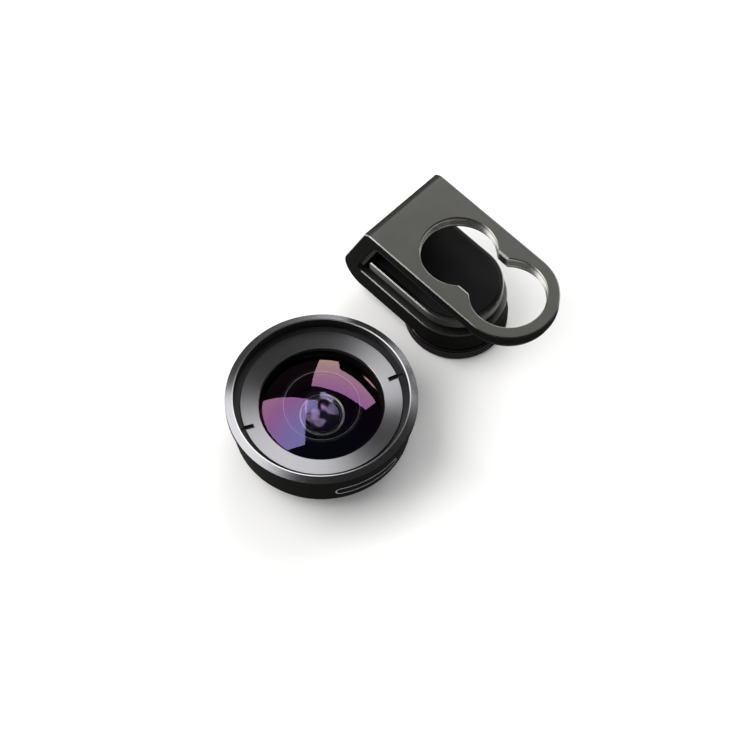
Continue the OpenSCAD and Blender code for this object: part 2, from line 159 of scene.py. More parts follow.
class FinishColours(bpy.types.PropertyGroup):
    """Colours of the finishes"""

    clip: tint("Clip", "Blasted and anodised clip frame", "575754")
    # Clip sides: the clip's own metal, painted nearly black as the shade on its side walls
    side: tint("Clip sides", "Milled side walls of the clip", "111110")
    # Cut edges: bright-cut metal, made light also as a painted highlight along the chamfers
    cut_edge_and_highlight: tint("Cut edges", "Bright-cut chamfers of the clip", "9C9B97")
    knob: tint("Knob", "Black anodised knob", "0F0E0E")
    # Plate: clear anodised metal, its colour painted dark as the clip's shade over it
    plate: tint("Plate", "Clear anodised pressure plate", "2A2A29")
    steel: tint("Steel", "Plated steel screw", "A9A8A4")
    barrel: tint("Barrel", "Black anodised barrel", "100F0E")
    rim: tint("Rim", "Turned rim", "838285")
    ring: tint("Retaining ring", "Face-turned retaining ring", "8A898C")
    inner: tint("Inner black", "Flat black inside the lens", "0B0B0C")
    rubber: tint("Rubber", "Moulded rubber pads", "101011")
    coat_face: tint("Coating, face on", "Reflection of the lens coating seen face on", "B4ABFF")
    coat_lean: tint("Coating, leaning", "Reflection of the coating at about thirty degrees", "D98CDA")
    coat_graze: tint("Coating, grazing", "Reflection of the coating at a shallow angle", "EBB6A8")
    floor: tint("Floor", "Pale floor", "F2F1EF")


# Meshes


def ridge(t):
    """Thread form: a triangle wave of period 1 with its crest and root cut flat, from 0 at t = 0 to 1."""
    saw = np.abs(2 * ((t + 0.5) % 1.0) - 1)
    return np.clip(1.3 * (1 - saw) - 0.15, 0, 1)


def bands(sharp, wrap):
    """Numbers the gaps between neighbouring rows, with a new number after each sharp row."""
    n = len(sharp)
    number = np.cumsum(np.asarray(sharp, int))
    if wrap:
        if not sharp[0]:
            number[number == number[-1]] = number[0]
        return number
    return number[: n - 1]


def grid(points, sharp_rows=None, sharp_cols=None, wrap=(False, False), finish=0, keep=None, band=None):
    """Quads over a grid of points: face (i, j) joins rows i and i + 1 with columns j and j + 1.

    Returns a patch: points, faces, the smooth band and the finish of each face, and a flat
    coordinate for each corner, (column, row) over the grid's size.
    """
    n, m = points.shape[:2]
    gi, gj = (n if wrap[0] else n - 1), (m if wrap[1] else m - 1)
    i, j = np.meshgrid(np.arange(gi), np.arange(gj), indexing="ij")
    i1, j1 = (i + 1) % n, (j + 1) % m
    faces = np.stack([i * m + j, i * m + j1, i1 * m + j1, i1 * m + j], -1).reshape(-1, 4)
    if band is None:
        rows = bands(np.zeros(n, bool) if sharp_rows is None else sharp_rows, wrap[0])
        cols = bands(np.zeros(m, bool) if sharp_cols is None else sharp_cols, wrap[1])
        band = rows[:gi, None] * 1000 + cols[None, :gj]
    finish = np.broadcast_to(np.asarray(finish).reshape(-1, 1) if np.ndim(finish) else finish, (gi, gj))
    flat = np.stack([np.stack([j / gj, i / gi], -1), np.stack([(j + 1) / gj, i / gi], -1),
                     np.stack([(j + 1) / gj, (i + 1) / gi], -1), np.stack([j / gj, (i + 1) / gi], -1)], 2)
    chosen = np.ones((gi, gj), bool) if keep is None else keep
    pick = chosen.ravel()
    return (points.reshape(-1, 3), faces[pick], band.ravel()[pick],
            finish.ravel()[pick], flat.reshape(-1, 4, 2)[pick])


def piece(name, patches, finishes, body, nodes=(), tone=None):
    """Joins patches into one closed mesh with its seams and poles merged and its faces outwards.

    An edge between two smooth bands is sharp. The finished object rides on its body and stands
    for the CAD nodes named.
    """
    sizes = np.cumsum([0] + [len(p[0]) for p in patches])
    points = np.concatenate([p[0] for p in patches])
    faces = np.concatenate([p[1] + s for p, s in zip(patches, sizes)])
    band = np.concatenate([p[2] + 10 ** 7 * k for k, p in enumerate(patches)])
    finish = np.concatenate([p[3] for p in patches])
    flat = np.concatenate([p[4] for p in patches])
    _, first, back = np.unique(np.round(points / 2e-8).astype(np.int64), axis=0,
                               return_index=True, return_inverse=True)
    merged, faces = points[first], back.reshape(-1)[faces]
    same = faces == np.roll(faces, -1, axis=1)
    whole, pinched = same.sum(1) == 0, same.sum(1) == 1
    crossed = (faces[:, 0] == faces[:, 2]) | (faces[:, 1] == faces[:, 3])
    whole, pinched = whole & ~crossed, pinched & ~crossed
    left = ~same[pinched]
    tris = faces[pinched][left].reshape(-1, 3)
    corners = np.concatenate([flat[whole].reshape(-1, 2), flat[pinched][left].reshape(-1, 2)])
    order = np.concatenate([np.flatnonzero(whole), np.flatnonzero(pinched)])
    band, finish = band[order], finish[order]
    mesh = bpy.data.meshes.new(name)
    mesh.from_pydata(merged, [], faces[whole].tolist() + tris.tolist())
    mesh.update(calc_edges=True)
    mesh.polygons.foreach_set("use_smooth", np.ones(len(band), bool))
    mesh.polygons.foreach_set("material_index", finish.astype(np.int32))
    layer = mesh.uv_layers.new(name="flat")
    layer.data.foreach_set("uv", corners.astype(np.float32).ravel())
    edge = np.zeros(len(mesh.loops), np.int32)
    mesh.loops.foreach_get("edge_index", edge)
    size = np.where(np.arange(len(band)) < whole.sum(), 4, 3)
    of_loop = np.repeat(band, size)
    least, most = np.full(len(mesh.edges), 2 ** 60), np.full(len(mesh.edges), -1)
    np.minimum.at(least, edge, of_loop)
    np.maximum.at(most, edge, of_loop)
    mark = mesh.attributes.new("sharp_edge", "BOOLEAN", "EDGE")
    mark.data.foreach_set("value", least != most)
    work = bmesh.new()
    work.from_mesh(mesh)
    bmesh.ops.recalc_face_normals(work, faces=work.faces)
    work.to_mesh(mesh)
    work.free()
    if tone is not None:
        shade = mesh.attributes.new("tone", "FLOAT", "POINT")
        values = np.zeros(len(mesh.vertices) * 3, np.float32)
        mesh.vertices.foreach_get("co", values)
        shade.data.foreach_set("value", tone(values.reshape(-1, 3)).astype(np.float32))
    obj = bpy.data.objects.new(name, mesh)
    bpy.context.scene.collection.objects.link(obj)
    for f in finishes:
        mesh.materials.append(f)
    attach(obj, body)
    if nodes:
        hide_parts(*nodes)
    return obj


def spin(profile, centre_y=0.0, around=288, pitch=0.00075, finish=0, closed=True):
    """Carries a profile round an upright axis, with a right-hand thread where the profile asks.

    A profile row is (radius, height, thread height, sharp, finish). The point at row k and turn t
    is the axis plus (radius + thread height x ridge(height / pitch - t)) along the direction of t.
    """
    rows = np.array([[*p, *([0.0, 1.0, 0.0][len(p) - 2 :] if len(p) < 5 else [])] for p in profile], float)
    turn = np.arange(around) / around
    r = rows[:, 0:1] + rows[:, 2:3] * ridge(rows[:, 1:2] / pitch - turn)
    points = np.stack([r * np.cos(2 * np.pi * turn), centre_y + r * np.sin(2 * np.pi * turn),
                       rows[:, 1:2] + 0 * turn], -1)
    sharp = rows[:, 3] > 0.5
    marks = rows[:, 4] if closed else rows[:-1, 4]
    return grid(points, sharp, None, (closed, True), marks + finish)


def arc(r0, z0, r1, z1, curve, n=24, finish=0):
    """Rows along a circular arc of radius |curve| from (r0, z0) to (r1, z1), its ends left out.

    The centre lies on the left of the way from the first point to the second for curve > 0.
    """
    a, b = np.array([r0, z0], float), np.array([r1, z1], float)
    d = b - a
    size = np.hypot(*d)
    normal = np.array([-d[1], d[0]]) / size
    centre = (a + b) / 2 + normal * np.sign(curve) * np.sqrt(max(curve ** 2 - size ** 2 / 4, 0.0))
    s, e = np.arctan2(*(a - centre)[::-1]), np.arctan2(*(b - centre)[::-1])
    sweep = (e - s + np.pi) % (2 * np.pi) - np.pi
    t = s + sweep * np.arange(1, n) / n
    return [(centre[0] + abs(curve) * np.cos(x), centre[1] + abs(curve) * np.sin(x), 0, 0, finish) for x in t]


def wall(r, z0, z1, amp, step=0.000075, finish=0):
    """Rows up or down a threaded wall, its thread fading in over half a pitch at each end."""
    n = max(int(round(abs(z1 - z0) / step)), 2)
    t = np.linspace(0, 1, n + 1)
    fade = np.clip(np.minimum(t, 1 - t) * abs(z1 - z0) / 0.0003, 0, 1)
    return [(r, z0 + (z1 - z0) * x, amp * f, 1 if x in (0.0, 1.0) else 0, finish) for x, f in zip(t, fade)]


class ArmPlan:
    """Plan of an arm round a hole: matching points on the arm's outline and on the hole's.

    Going anticlockwise from the root's lower corner, the outline is a straight side, a round end
    of centre (tip, 0), a straight side and the root line at x = root. The hole is a circle about
    the origin, joined to a like circle about (tip, 0) by a neck where tip isn't 0.
    """

    def __init__(self, root, tip, half, hole, neck, root_y, step=2.5):
        self.root, self.tip, self.half, self.neck = root, tip, half, neck
        corner = np.arctan2(half, root)
        n = lambda a: max(int(np.ceil(np.degrees(abs(a)) / step)), 2)
        cut = np.arcsin(neck / hole) if tip > 0 else 0.0
        back = np.linspace(-corner, -np.pi / 2, n(corner - np.pi / 2), endpoint=False)
        side = np.linspace(-np.pi / 2, -cut, n(np.pi / 2 - cut), endpoint=False)
        self.count = len(back), len(side)
        self.root_y = root_y[1:-1][::-1]
        self.back, self.side = back, side
        if tip > 0:
            self.neck_t = np.linspace(0, 1, 7)[:-1]
            self.far = np.linspace(-(np.pi - cut), np.pi - cut, 2 * n(np.pi - cut) + 1)
        else:
            self.neck_t, self.far = np.zeros(0), np.linspace(-np.pi / 2, np.pi / 2, 2 * n(np.pi / 2) + 1)
        self.hole_r = hole

    def hole(self, r, h):
        """The hole's outline at radius r and neck half width h."""
        root = np.pi - np.arctan(self.root_y / abs(self.root))
        if self.tip == 0:
            lower = self.back
            turn = np.concatenate([lower, self.far, -lower[::-1], root])
            return np.stack([r * np.cos(turn), r * np.sin(turn)], -1)
        cut = np.arcsin(h / r)
        nominal = np.arcsin(self.neck / self.hole_r)
        near = -np.pi / 2 + (self.side + np.pi / 2) * (np.pi / 2 - cut) / (np.pi / 2 - nominal)
        lower = np.concatenate([self.back, near])
        far = self.far * (np.pi - cut) / (np.pi - nominal)
        x0, x1 = r * np.cos(cut), self.tip - r * np.cos(cut)
        neck_x = x0 + (x1 - x0) * self.neck_t
        arc_lo = np.stack([r * np.cos(lower), r * np.sin(lower)], -1)
        neck_lo = np.stack([neck_x, np.full_like(neck_x, -h)], -1)
        far_arc = np.stack([self.tip + r * np.cos(far), r * np.sin(far)], -1)
        rear = np.stack([r * np.cos(root), r * np.sin(root)], -1)
        up = np.array([1, -1])
        start = np.array([[x0, h]])
        return np.concatenate([arc_lo, neck_lo, far_arc, (neck_lo * up)[::-1][:-1], start, (arc_lo * up)[::-1], rear])

    def outline(self, inset=0.0, root_inset=0.0):
        """The arm's outline drawn in by inset, and its root line by root_inset."""
        h, shrink = self.half - inset, (self.half - inset) / self.half
        root = self.root + root_inset
        back = np.stack([-self.half / np.tan(self.back), np.full_like(self.back, -h)], -1)
        back[:, 0] = np.maximum(back[:, 0], root)
        if self.tip == 0:
            far = np.stack([h * np.cos(self.far), h * np.sin(self.far)], -1)
            lower, middle = back, far
        else:
            side_x = self.hole_r * np.cos(self.side)
            near = np.stack([side_x, np.full_like(side_x, -h)], -1)
            cut = np.arcsin(self.neck / self.hole_r)
            x0 = self.hole_r * np.cos(cut)
            neck_x = x0 + (self.tip - 2 * x0) * self.neck_t
            neck_lo = np.stack([neck_x, np.full_like(neck_x, -h)], -1)
            ahead = np.abs(self.far) <= np.pi / 2
            far = np.where(ahead[:, None],
                           np.stack([self.tip + h * np.cos(self.far), h * np.sin(self.far)], -1),
                           np.stack([self.tip + self.hole_r * np.cos(self.far), h * np.sign(self.far)], -1))
            lower = np.concatenate([back, near])
            up = np.array([1, -1])
            middle = np.concatenate([neck_lo, far, (neck_lo * up)[::-1][:-1], [[x0, h]]])
        up = np.array([1, -1])
        rear = np.stack([np.full_like(self.root_y, root), self.root_y * shrink], -1)
        return np.concatenate([lower, middle, (lower * up)[::-1], rear])

    def marks(self):
        """Sharp columns of the outline and of the hole."""
        n = len(self.outline())
        outer, inner = np.zeros(n, bool), np.zeros(n, bool)
        outer[0] = outer[n - len(self.root_y) - 1] = True
        if self.tip > 0:
            a = len(self.back) + len(self.side)
            b = a + len(self.neck_t)
            c = b + len(self.far) - 1
            inner[[a, b, c, c + len(self.neck_t)]] = True
        return outer, inner


def arm(plan, rows, open_root):
    """A flat arm between its outline and its hole, as a ring: rows go round the section.

    A row is (kind, radius or inset, neck half width, height, sharp, finish, thread height), of kind
    "outer" or "hole". The hole's wall gets its thread from ridge(height / pitch - turn).
    """
    outer_sharp, inner_sharp = plan.marks()
    n = len(outer_sharp)
    turn = np.arctan2(plan.hole(plan.hole_r, plan.neck)[:, 1], plan.hole(plan.hole_r, plan.neck)[:, 0]) / (2 * np.pi)
    points, group = [], []
    for kind, size, neck, z, _, _, amp in rows:
        if kind == "outer":
            flat = plan.outline(size, 0.0 if open_root else size)
        else:
            flat = plan.hole(size, neck)
            if amp:
                about = np.where(np.arange(n) < 0, 0, 0)
                far = np.hypot(flat[:, 0] - plan.tip, flat[:, 1]) < np.hypot(flat[:, 0], flat[:, 1]) - 1e-9
                centre = np.stack([np.where(far, plan.tip, 0.0), 0 * turn], -1)
                away = flat - centre
                size_now = np.hypot(away[:, 0], away[:, 1])
                spin_turn = np.arctan2(away[:, 1], away[:, 0]) / (2 * np.pi)
                on_arc = np.abs(size_now - size) < 1e-7
                push = 1 + np.where(on_arc, amp * ridge(z / 0.00075 - spin_turn) / size, 0.0) + about
                flat = centre + away * push[:, None]
        points.append(np.concatenate([flat, np.full((n, 1), z)], 1))
        group.append(kind)
    points = np.array(points)
    row_band = bands([bool(r[4]) for r in rows], True)
    cols = np.where(np.array([[k == "outer" for k in group]]).T,
                    bands(outer_sharp, True)[None, :], bands(inner_sharp, True)[None, :] + 500)
    band = row_band[:, None] * 1000 + cols
    keep = np.ones((len(rows), n), bool)
    if open_root:
        first = n - len(plan.root_y) - 1
        for k in range(len(rows)):
            if group[k] == "outer" and group[(k + 1) % len(rows)] == "outer":
                keep[k, first:] = False
    return grid(points, wrap=(True, True), finish=np.array([r[5] for r in rows]), keep=keep, band=band)


# Finishes


def add(tree, kind, settings=None, links=None):
    """Adds a node to a tree, with its settings by name and its inputs by socket.

    A link is another node's output, a setting whose name is an input is a fixed value.
    """
    node = tree.nodes.new(kind)
    for key, value in (settings or {}).items():
        if key in node.inputs:
            node.inputs[key].default_value = value
        else:
            setattr(node, key, value)
    for key, source in (links or {}).items():
        tree.links.new(source, node.inputs[key])
    return node


def empty_finish(name):
    """A new material with only its output, and its node tree."""
    material = bpy.data.materials.new(name)
    material.use_nodes = True
    material.node_tree.nodes.clear()
    return material, material.node_tree


def grainy_metal(name, colour, roughness, grain, depth, mottle=0.06, metallic=1.0, coat=0.0, gloss=0.5, slant=1.0):
    """Metal with a fine random grain: grain is the size of a grain in metres, depth its bump.

    slant below 1 darkens it where it turns away, as a dyed oxide layer does when seen at a slant.
    """
    material, tree = empty_finish(name)
    place = add(tree, "ShaderNodeTexCoord").outputs["Object"]
    fine = add(tree, "ShaderNodeTexNoise", {"Scale": 1.0 / grain, "Detail": 3.0, "Roughness": 0.6}, {"Vector": place})
    broad = add(tree, "ShaderNodeTexNoise", {"Scale": 1.0 / (40 * grain), "Detail": 4.0}, {"Vector": place})
    shade = add(tree, "ShaderNodeMapRange", {"From Min": 0.3, "From Max": 0.7, "To Min": 1 - mottle, "To Max": 1 + mottle},
                {"Value": broad.outputs["Fac"]})
    paint = add(tree, "ShaderNodeVectorMath", {"operation": "SCALE"}, {"Scale": shade.outputs[0]})
    paint.inputs[0].default_value = colour[:3]
    rough = add(tree, "ShaderNodeMapRange", {"From Min": 0.25, "From Max": 0.75, "To Min": roughness * 0.88, "To Max": roughness * 1.12},
                {"Value": fine.outputs["Fac"]})
    bump = add(tree, "ShaderNodeBump", {"Strength": 0.5, "Distance": depth}, {"Height": fine.outputs["Fac"]})
    shader = add(tree, "ShaderNodeBsdfPrincipled", {"Metallic": metallic, "Coat Weight": coat, "Coat Roughness": 0.2, "Specular IOR Level": gloss,
                  "Specular Tint": (slant, slant, slant, 1.0)},
                 {"Base Color": paint.outputs[0], "Roughness": rough.outputs[0], "Normal": bump.outputs[0]})
    add(tree, "ShaderNodeOutputMaterial", {}, {"Surface": shader.outputs[0]})
    return material


def turned_metal(name, colour, roughness, centre_y, groove, depth, anisotropy=0.5, metallic=1.0, upright=False, gloss=0.5):
    """Metal turned on a lathe: fine rings about the lens or knob axis, groove apart in metres.

    The rings run with the distance from the axis on a face, or with the height on an upright wall.
    Their depth wanders from ring to ring, as a cutter's marks do.
    """
    material, tree = empty_finish(name)
    place = add(tree, "ShaderNodeTexCoord").outputs["Object"]
    move = add(tree, "ShaderNodeVectorMath", {"operation": "SUBTRACT"}, {0: place})
    move.inputs[1].default_value = (0.0, centre_y, 0.0)
    apart = add(tree, "ShaderNodeSeparateXYZ", {}, {"Vector": move.outputs[0]})
    if upright:
        along = apart.outputs["Z"]
    else:
        flat = add(tree, "ShaderNodeVectorMath", {"operation": "MULTIPLY"}, {0: move.outputs[0]})
        flat.inputs[1].default_value = (1.0, 1.0, 0.0)
        along = add(tree, "ShaderNodeVectorMath", {"operation": "LENGTH"}, {0: flat.outputs[0]}).outputs["Value"]
    rings = add(tree, "ShaderNodeTexNoise", {"noise_dimensions": "1D", "Scale": 1.0, "Detail": 2.0, "Roughness": 0.7})
    step = add(tree, "ShaderNodeMath", {"operation": "MULTIPLY"}, {0: along})
    step.inputs[1].default_value = 1.0 / groove
    tree.links.new(step.outputs[0], rings.inputs["W"])
    shade = add(tree, "ShaderNodeMapRange", {"From Min": 0.3, "From Max": 0.7, "To Min": 0.9, "To Max": 1.08},
                {"Value": rings.outputs["Fac"]})
    paint = add(tree, "ShaderNodeVectorMath", {"operation": "SCALE"}, {"Scale": shade.outputs[0]})
    paint.inputs[0].default_value = colour[:3]
    bump = add(tree, "ShaderNodeBump", {"Strength": 0.6, "Distance": depth}, {"Height": rings.outputs["Fac"]})
    shader = add(tree, "ShaderNodeBsdfPrincipled",
                 {"Metallic": metallic, "Roughness": roughness, "Anisotropic": anisotropy,
                  "Anisotropic Rotation": 0.25, "Specular IOR Level": gloss},
                 {"Base Color": paint.outputs[0], "Normal": bump.outputs[0]})
    if anisotropy:
        lay = add(tree, "ShaderNodeTangent", {"direction_type": "UV_MAP", "uv_map": "flat"})
        tree.links.new(lay.outputs[0], shader.inputs["Tangent"])
    add(tree, "ShaderNodeOutputMaterial", {}, {"Surface": shader.outputs[0]})
    return material


def knurled_metal(name, colour):
    """Black anodised aluminium with a painted glint on its knurl crests and painted shade in its valleys, from the tone
    attribute that holds each point's crest height.
    """
    material, tree = empty_finish(name)
    place = add(tree, "ShaderNodeTexCoord").outputs["Object"]
    height = add(tree, "ShaderNodeAttribute", {"attribute_name": "tone"})
    fine = add(tree, "ShaderNodeTexNoise", {"Scale": 1 / 0.00012, "Detail": 3.0}, {"Vector": place})
    # Painted glint and shade: the colour scaled from a fifth in the valleys to eleven times on the crests
    painted_glint_and_valley_shade = add(tree, "ShaderNodeMapRange", {"From Min": 0.45, "From Max": 0.95, "To Min": 0.2, "To Max": 11.0},
               {"Value": height.outputs["Fac"]})
    paint = add(tree, "ShaderNodeVectorMath", {"operation": "SCALE"}, {"Scale": painted_glint_and_valley_shade.outputs[0]})
    paint.inputs[0].default_value = colour[:3]
    bump = add(tree, "ShaderNodeBump", {"Strength": 0.4, "Distance": 0.00001}, {"Height": fine.outputs["Fac"]})
    shader = add(tree, "ShaderNodeBsdfPrincipled", {"Metallic": 0.0, "Roughness": 0.5, "Specular IOR Level": 0.01},
                 {"Base Color": paint.outputs[0], "Normal": bump.outputs[0]})
    add(tree, "ShaderNodeOutputMaterial", {}, {"Surface": shader.outputs[0]})
    return material


def flat_black(name, colour, roughness=0.75):
    """Flat black anodising inside the lens: nearly no sheen, with a fine dry grain."""
    return grainy_metal(name, colour, roughness, 0.0001, 0.000004, mottle=0.15, metallic=0.0)


def moulded_rubber(name, colour):
    """Moulded silicone rubber: dark and matt, with a spark-eroded grain of 0.15 mm."""
    material, tree = empty_finish(name)
    place = add(tree, "ShaderNodeTexCoord").outputs["Object"]
    grain = add(tree, "ShaderNodeTexNoise", {"Scale": 1 / 0.00015, "Detail": 4.0, "Roughness": 0.65}, {"Vector": place})
    broad = add(tree, "ShaderNodeTexNoise", {"Scale": 1 / 0.003, "Detail": 2.0}, {"Vector": place})
    shade = add(tree, "ShaderNodeMapRange", {"From Min": 0.3, "From Max": 0.7, "To Min": 0.85, "To Max": 1.2},
                {"Value": broad.outputs["Fac"]})
    paint = add(tree, "ShaderNodeVectorMath", {"operation": "SCALE"}, {"Scale": shade.outputs[0]})
    paint.inputs[0].default_value = colour[:3]
    bump = add(tree, "ShaderNodeBump", {"Strength": 0.6, "Distance": 0.00003}, {"Height": grain.outputs["Fac"]})
    shader = add(tree, "ShaderNodeBsdfPrincipled", {"Roughness": 0.6, "Specular IOR Level": 0.1},
                 {"Base Color": paint.outputs[0], "Normal": bump.outputs[0]})
    add(tree, "ShaderNodeOutputMaterial", {}, {"Surface": shader.outputs[0]})
    return material


def coated_glass(name, face, lean, graze, density):
    """Polished optical glass under an anti-reflection coating.

    What the coating reflects turns from blue-violet face on to pink and then orange at a shallow
    angle, because its thin layers look thinner from the side.
    """
    material, tree = empty_finish(name)
    place = add(tree, "ShaderNodeTexCoord").outputs["Object"]
    dust = add(tree, "ShaderNodeTexNoise", {"Scale": 1 / 0.004, "Detail": 2.0}, {"Vector": place})
    rough = add(tree, "ShaderNodeMapRange", {"From Min": 0.4, "From Max": 0.8, "To Min": 0.0, "To Max": 0.002},
                {"Value": dust.outputs["Fac"]})
    slant = add(tree, "ShaderNodeLayerWeight", {"Blend": 0.5})
    layers = add(tree, "ShaderNodeValToRGB", {}, {"Fac": slant.outputs["Facing"]})
    ramp = layers.color_ramp.elements
    ramp[0].position, ramp[0].color = 0.03, face
    ramp[1].position, ramp[1].color = 0.38, graze
    middle = ramp.new(0.15)
    middle.color = lean
    shader = add(tree, "ShaderNodeBsdfPrincipled",
                 {"Base Color": (1, 1, 1, 1), "IOR": density, "Transmission Weight": 1.0},
                 {"Roughness": rough.outputs[0], "Specular Tint": layers.outputs["Color"]})
    add(tree, "ShaderNodeOutputMaterial", {}, {"Surface": shader.outputs[0]})
    return material


def printed_ink(name):
    """Pad-printed light grey ink: thin, even and satin, with slightly broken edges."""
    return grainy_metal(name, linear("CFCFCC"), 0.5, 0.0001, 0.000002, mottle=0.08, metallic=0.0)


# Pieces


class LENSCLIP_OT_frame(bpy.types.Operator):
    """Builds the C-shaped clip frame with its two joined, threaded sockets"""

    bl_idname = "lensclip.frame"
    bl_label = "Clip frame"

    def execute(self, context):
        s, c = context.scene.lensclip_clip, context.scene.lensclip_colours
        # Bead-blasted and anodised aluminium: an even satin grey that glows softly along the bend
        satin = grainy_metal("blasted_grey_anodised_aluminium", c.clip, 0.4, 0.00012, 0.000006, 0.04, slant=0.15)
        # Milled side wall of the same anodised metal, its colour painted nearly black as shade, with a faint satin
        # sheen
        side_wall_painted_shade = grainy_metal("milled_side_painted_shade", c.side, 0.55, 0.00012, 0.000005, 0.08, 0.0, 0.0, 0.005)
        # Bright-cut chamfer: a fine machined line that catches every lamp, its colour made light also as a painted
        # highlight along the edges
        cut = grainy_metal("bright_cut_aluminium_painted_highlight", c.cut_edge_and_highlight, 0.26, 0.00008, 0.0000004, 0.03)
        # Tapped wall: the cutter leaves the same anodised metal smoother than the blasted faces
        tapped = grainy_metal("tapped_anodised_aluminium", linear("B4B3AF"), 0.27, 0.00008, 0.000001, 0.05)
        top, low = float(CLIP_HIGH[2]), float(CLIP_LOW[2])
        under, floor = top - s.upper, low + s.lower
        e, half = s.edge, s.half_width
        root_y = np.linspace(-half, half, 15)

        def outer_rows(z0, z1):
            """Section rows up the outside of an arm, with a bright chamfer at each edge, its light colour partly a
            painted highlight, and a side wall painted dark as shade between them.
            """
            return [("outer", e, 0, z0, 1, 1, 0), ("outer", 0, 0, z0 + e, 1, 3, 0),
                    ("outer", 0, 0, z1 - e, 1, 1, 0), ("outer", e, 0, z1, 1, 0, 0)]

        plan = ArmPlan(-0.0125, s.pitch, half, s.socket, s.neck, root_y)
        lip, k = 0.0002, s.neck_chamfer
        heights = np.linspace(top - k, under + 0.0001, 34)
        fade = np.clip(np.minimum(np.arange(34), np.arange(34)[::-1]) / 3, 0, 1)
        crest = s.socket - s.thread_depth
        rows = outer_rows(under, top) + [
            ("hole", s.socket + lip, s.neck + k, top, 1, 1, 0),
            ("hole", s.socket, s.neck + k - lip, top - lip, 1, 1, 0)]
        rows += [("hole", crest + s.thread_depth * (1 - f), s.neck, z, i == 0 or i == 33, 2, 2 * s.thread_depth * f)
                 for i, (z, f) in enumerate(zip(heights, fade))]
        rows += [("hole", s.socket + 0.0001, s.neck + 0.0001, under, 1, 0, 0)]
        patches = [arm(plan, rows, True)]

        lower_plan = ArmPlan(-0.014, 0.0, half, 0.00255, 0.0, root_y)
        rows = outer_rows(low, floor) + [
            ("hole", 0.0029, 0, floor, 1, 1, 0), ("hole", 0.00255, 0, floor - 0.00035, 1, 0, 0),
            ("hole", 0.00255, 0, low + 0.00035, 1, 1, 0), ("hole", 0.0029, 0, low, 1, 0, 0)]
        patches.append(arm(lower_plan, rows, True))

        lean = np.tan(s.lean)
        outer_x = lambda z: -s.reach - (top - z) * lean
        inner_x = lambda z: outer_x(z) + s.spine / np.cos(s.lean)

        def bend(corner, before, after, r, n):
            """Points round a corner rounded to radius r, from the side of before to that of after."""
            corner, before, after = (np.array(p, float) for p in (corner, before, after))
            u, v = before - corner, after - corner
            u, v = u / np.hypot(*u), v / np.hypot(*v)
            half_turn = np.arccos(u @ v) / 2
            centre = corner + (u + v) / np.hypot(*(u + v)) * r / np.sin(half_turn)
            a, b = corner + u * r / np.tan(half_turn) - centre, corner + v * r / np.tan(half_turn) - centre
            t0 = np.arctan2(a[1], a[0])
            sweep = (np.arctan2(b[1], b[0]) - t0 + np.pi) % (2 * np.pi) - np.pi
            t = t0 + sweep * np.linspace(0, 1, n)
            return centre + r * np.stack([np.cos(t), np.sin(t)], -1)

        far = 0.05
        o_top = bend((-s.reach, top), (far, top), (outer_x(low), low), s.bend, 14)
        i_top = bend((inner_x(under), under), (far, under), (inner_x(floor), floor), 0.0005, 14)
        o_low = bend((outer_x(low), low), (-s.reach, top), (far, low), s.heel, 18)
        i_low = bend((inner_x(floor), floor), (inner_x(under), under), (far, floor), 0.001, 18)
        spread = lambda a, b: a + (b - a) * np.linspace(0, 1, 6)[1:-1, None]
        outside = np.concatenate([[[-0.0125, top]], o_top, spread(o_top[-1], o_low[0]), o_low, [[-0.014, low]]])
        inside = np.concatenate([[[-0.0125, under]], i_top, spread(i_top[-1], i_low[0]), i_low, [[-0.014, floor]]])
        across = inside - outside
        across /= np.hypot(across[:, 0], across[:, 1])[:, None]
        flat_y = root_y * (half - e) / half
        section = [(y, 0, 0.0) for y in flat_y] + [(half, 0, e), (half, 1, e)]
        section += [(y, 1, 0.0) for y in flat_y[::-1]] + [(-half, 1, e), (-half, 0, e)]
        side = np.array([p[1] for p in section])[None, :, None]
        drop = np.array([p[2] for p in section])[None, :, None]
        wide = np.array([p[0] for p in section])
        flat = (1 - side) * (outside[:, None] + across[:, None] * drop) + side * (inside[:, None] - across[:, None] * drop)
        points = np.stack([flat[..., 0], np.broadcast_to(wide, flat.shape[:2]), flat[..., 1]], -1)
        m = len(flat_y)
        sharp = np.zeros(len(section), bool)
        sharp[[0, m - 1, m, m + 1, m + 2, 2 * m + 1, 2 * m + 2, 2 * m + 3]] = True
        coat = np.zeros(len(section), int)
        coat[[m - 1, m + 1, 2 * m + 1, 2 * m + 3]] = 1
        coat[[m, 2 * m + 2]] = 3
        turned = np.swapaxes(points, 0, 1)
        spine = list(grid(turned, sharp, None, (True, False), coat))
        # The bright cut stops at the spine: inside the jaw the spine's edges get the side walls' painted shade
        row, col = np.divmod(np.arange(len(spine[1])), len(outside) - 1)
        jaw_edges_painted_shade = np.isin(row, (m + 1, 2 * m + 1)) & (col > 4) & (col < len(outside) - 8)
        spine[3] = np.where(jaw_edges_painted_shade, 3, spine[3])
        patches.append(tuple(spine))
        piece("clip_body", patches, [satin, cut, tapped, side_wall_painted_shade], "clip", ["clip_frame"])
        return {"FINISHED"}


class LENSCLIP_OT_pads(bpy.types.Operator):
    """Gives the three rubber pads their moulded finish"""

    bl_idname = "lensclip.pads"
    bl_label = "Rubber pads"

    def execute(self, context):
        c = context.scene.lensclip_colours
        # Silicone rubber, moulded: soft dark grey that hardly shines
        rubber = moulded_rubber("moulded_silicone_rubber", c.rubber)
        for node in ("upper_pad", "spine_pad", "plate_pad"):
            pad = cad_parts[node]
            for i in range(len(pad.material_slots)):
                pad.material_slots[i].material = rubber
        return {"FINISHED"}


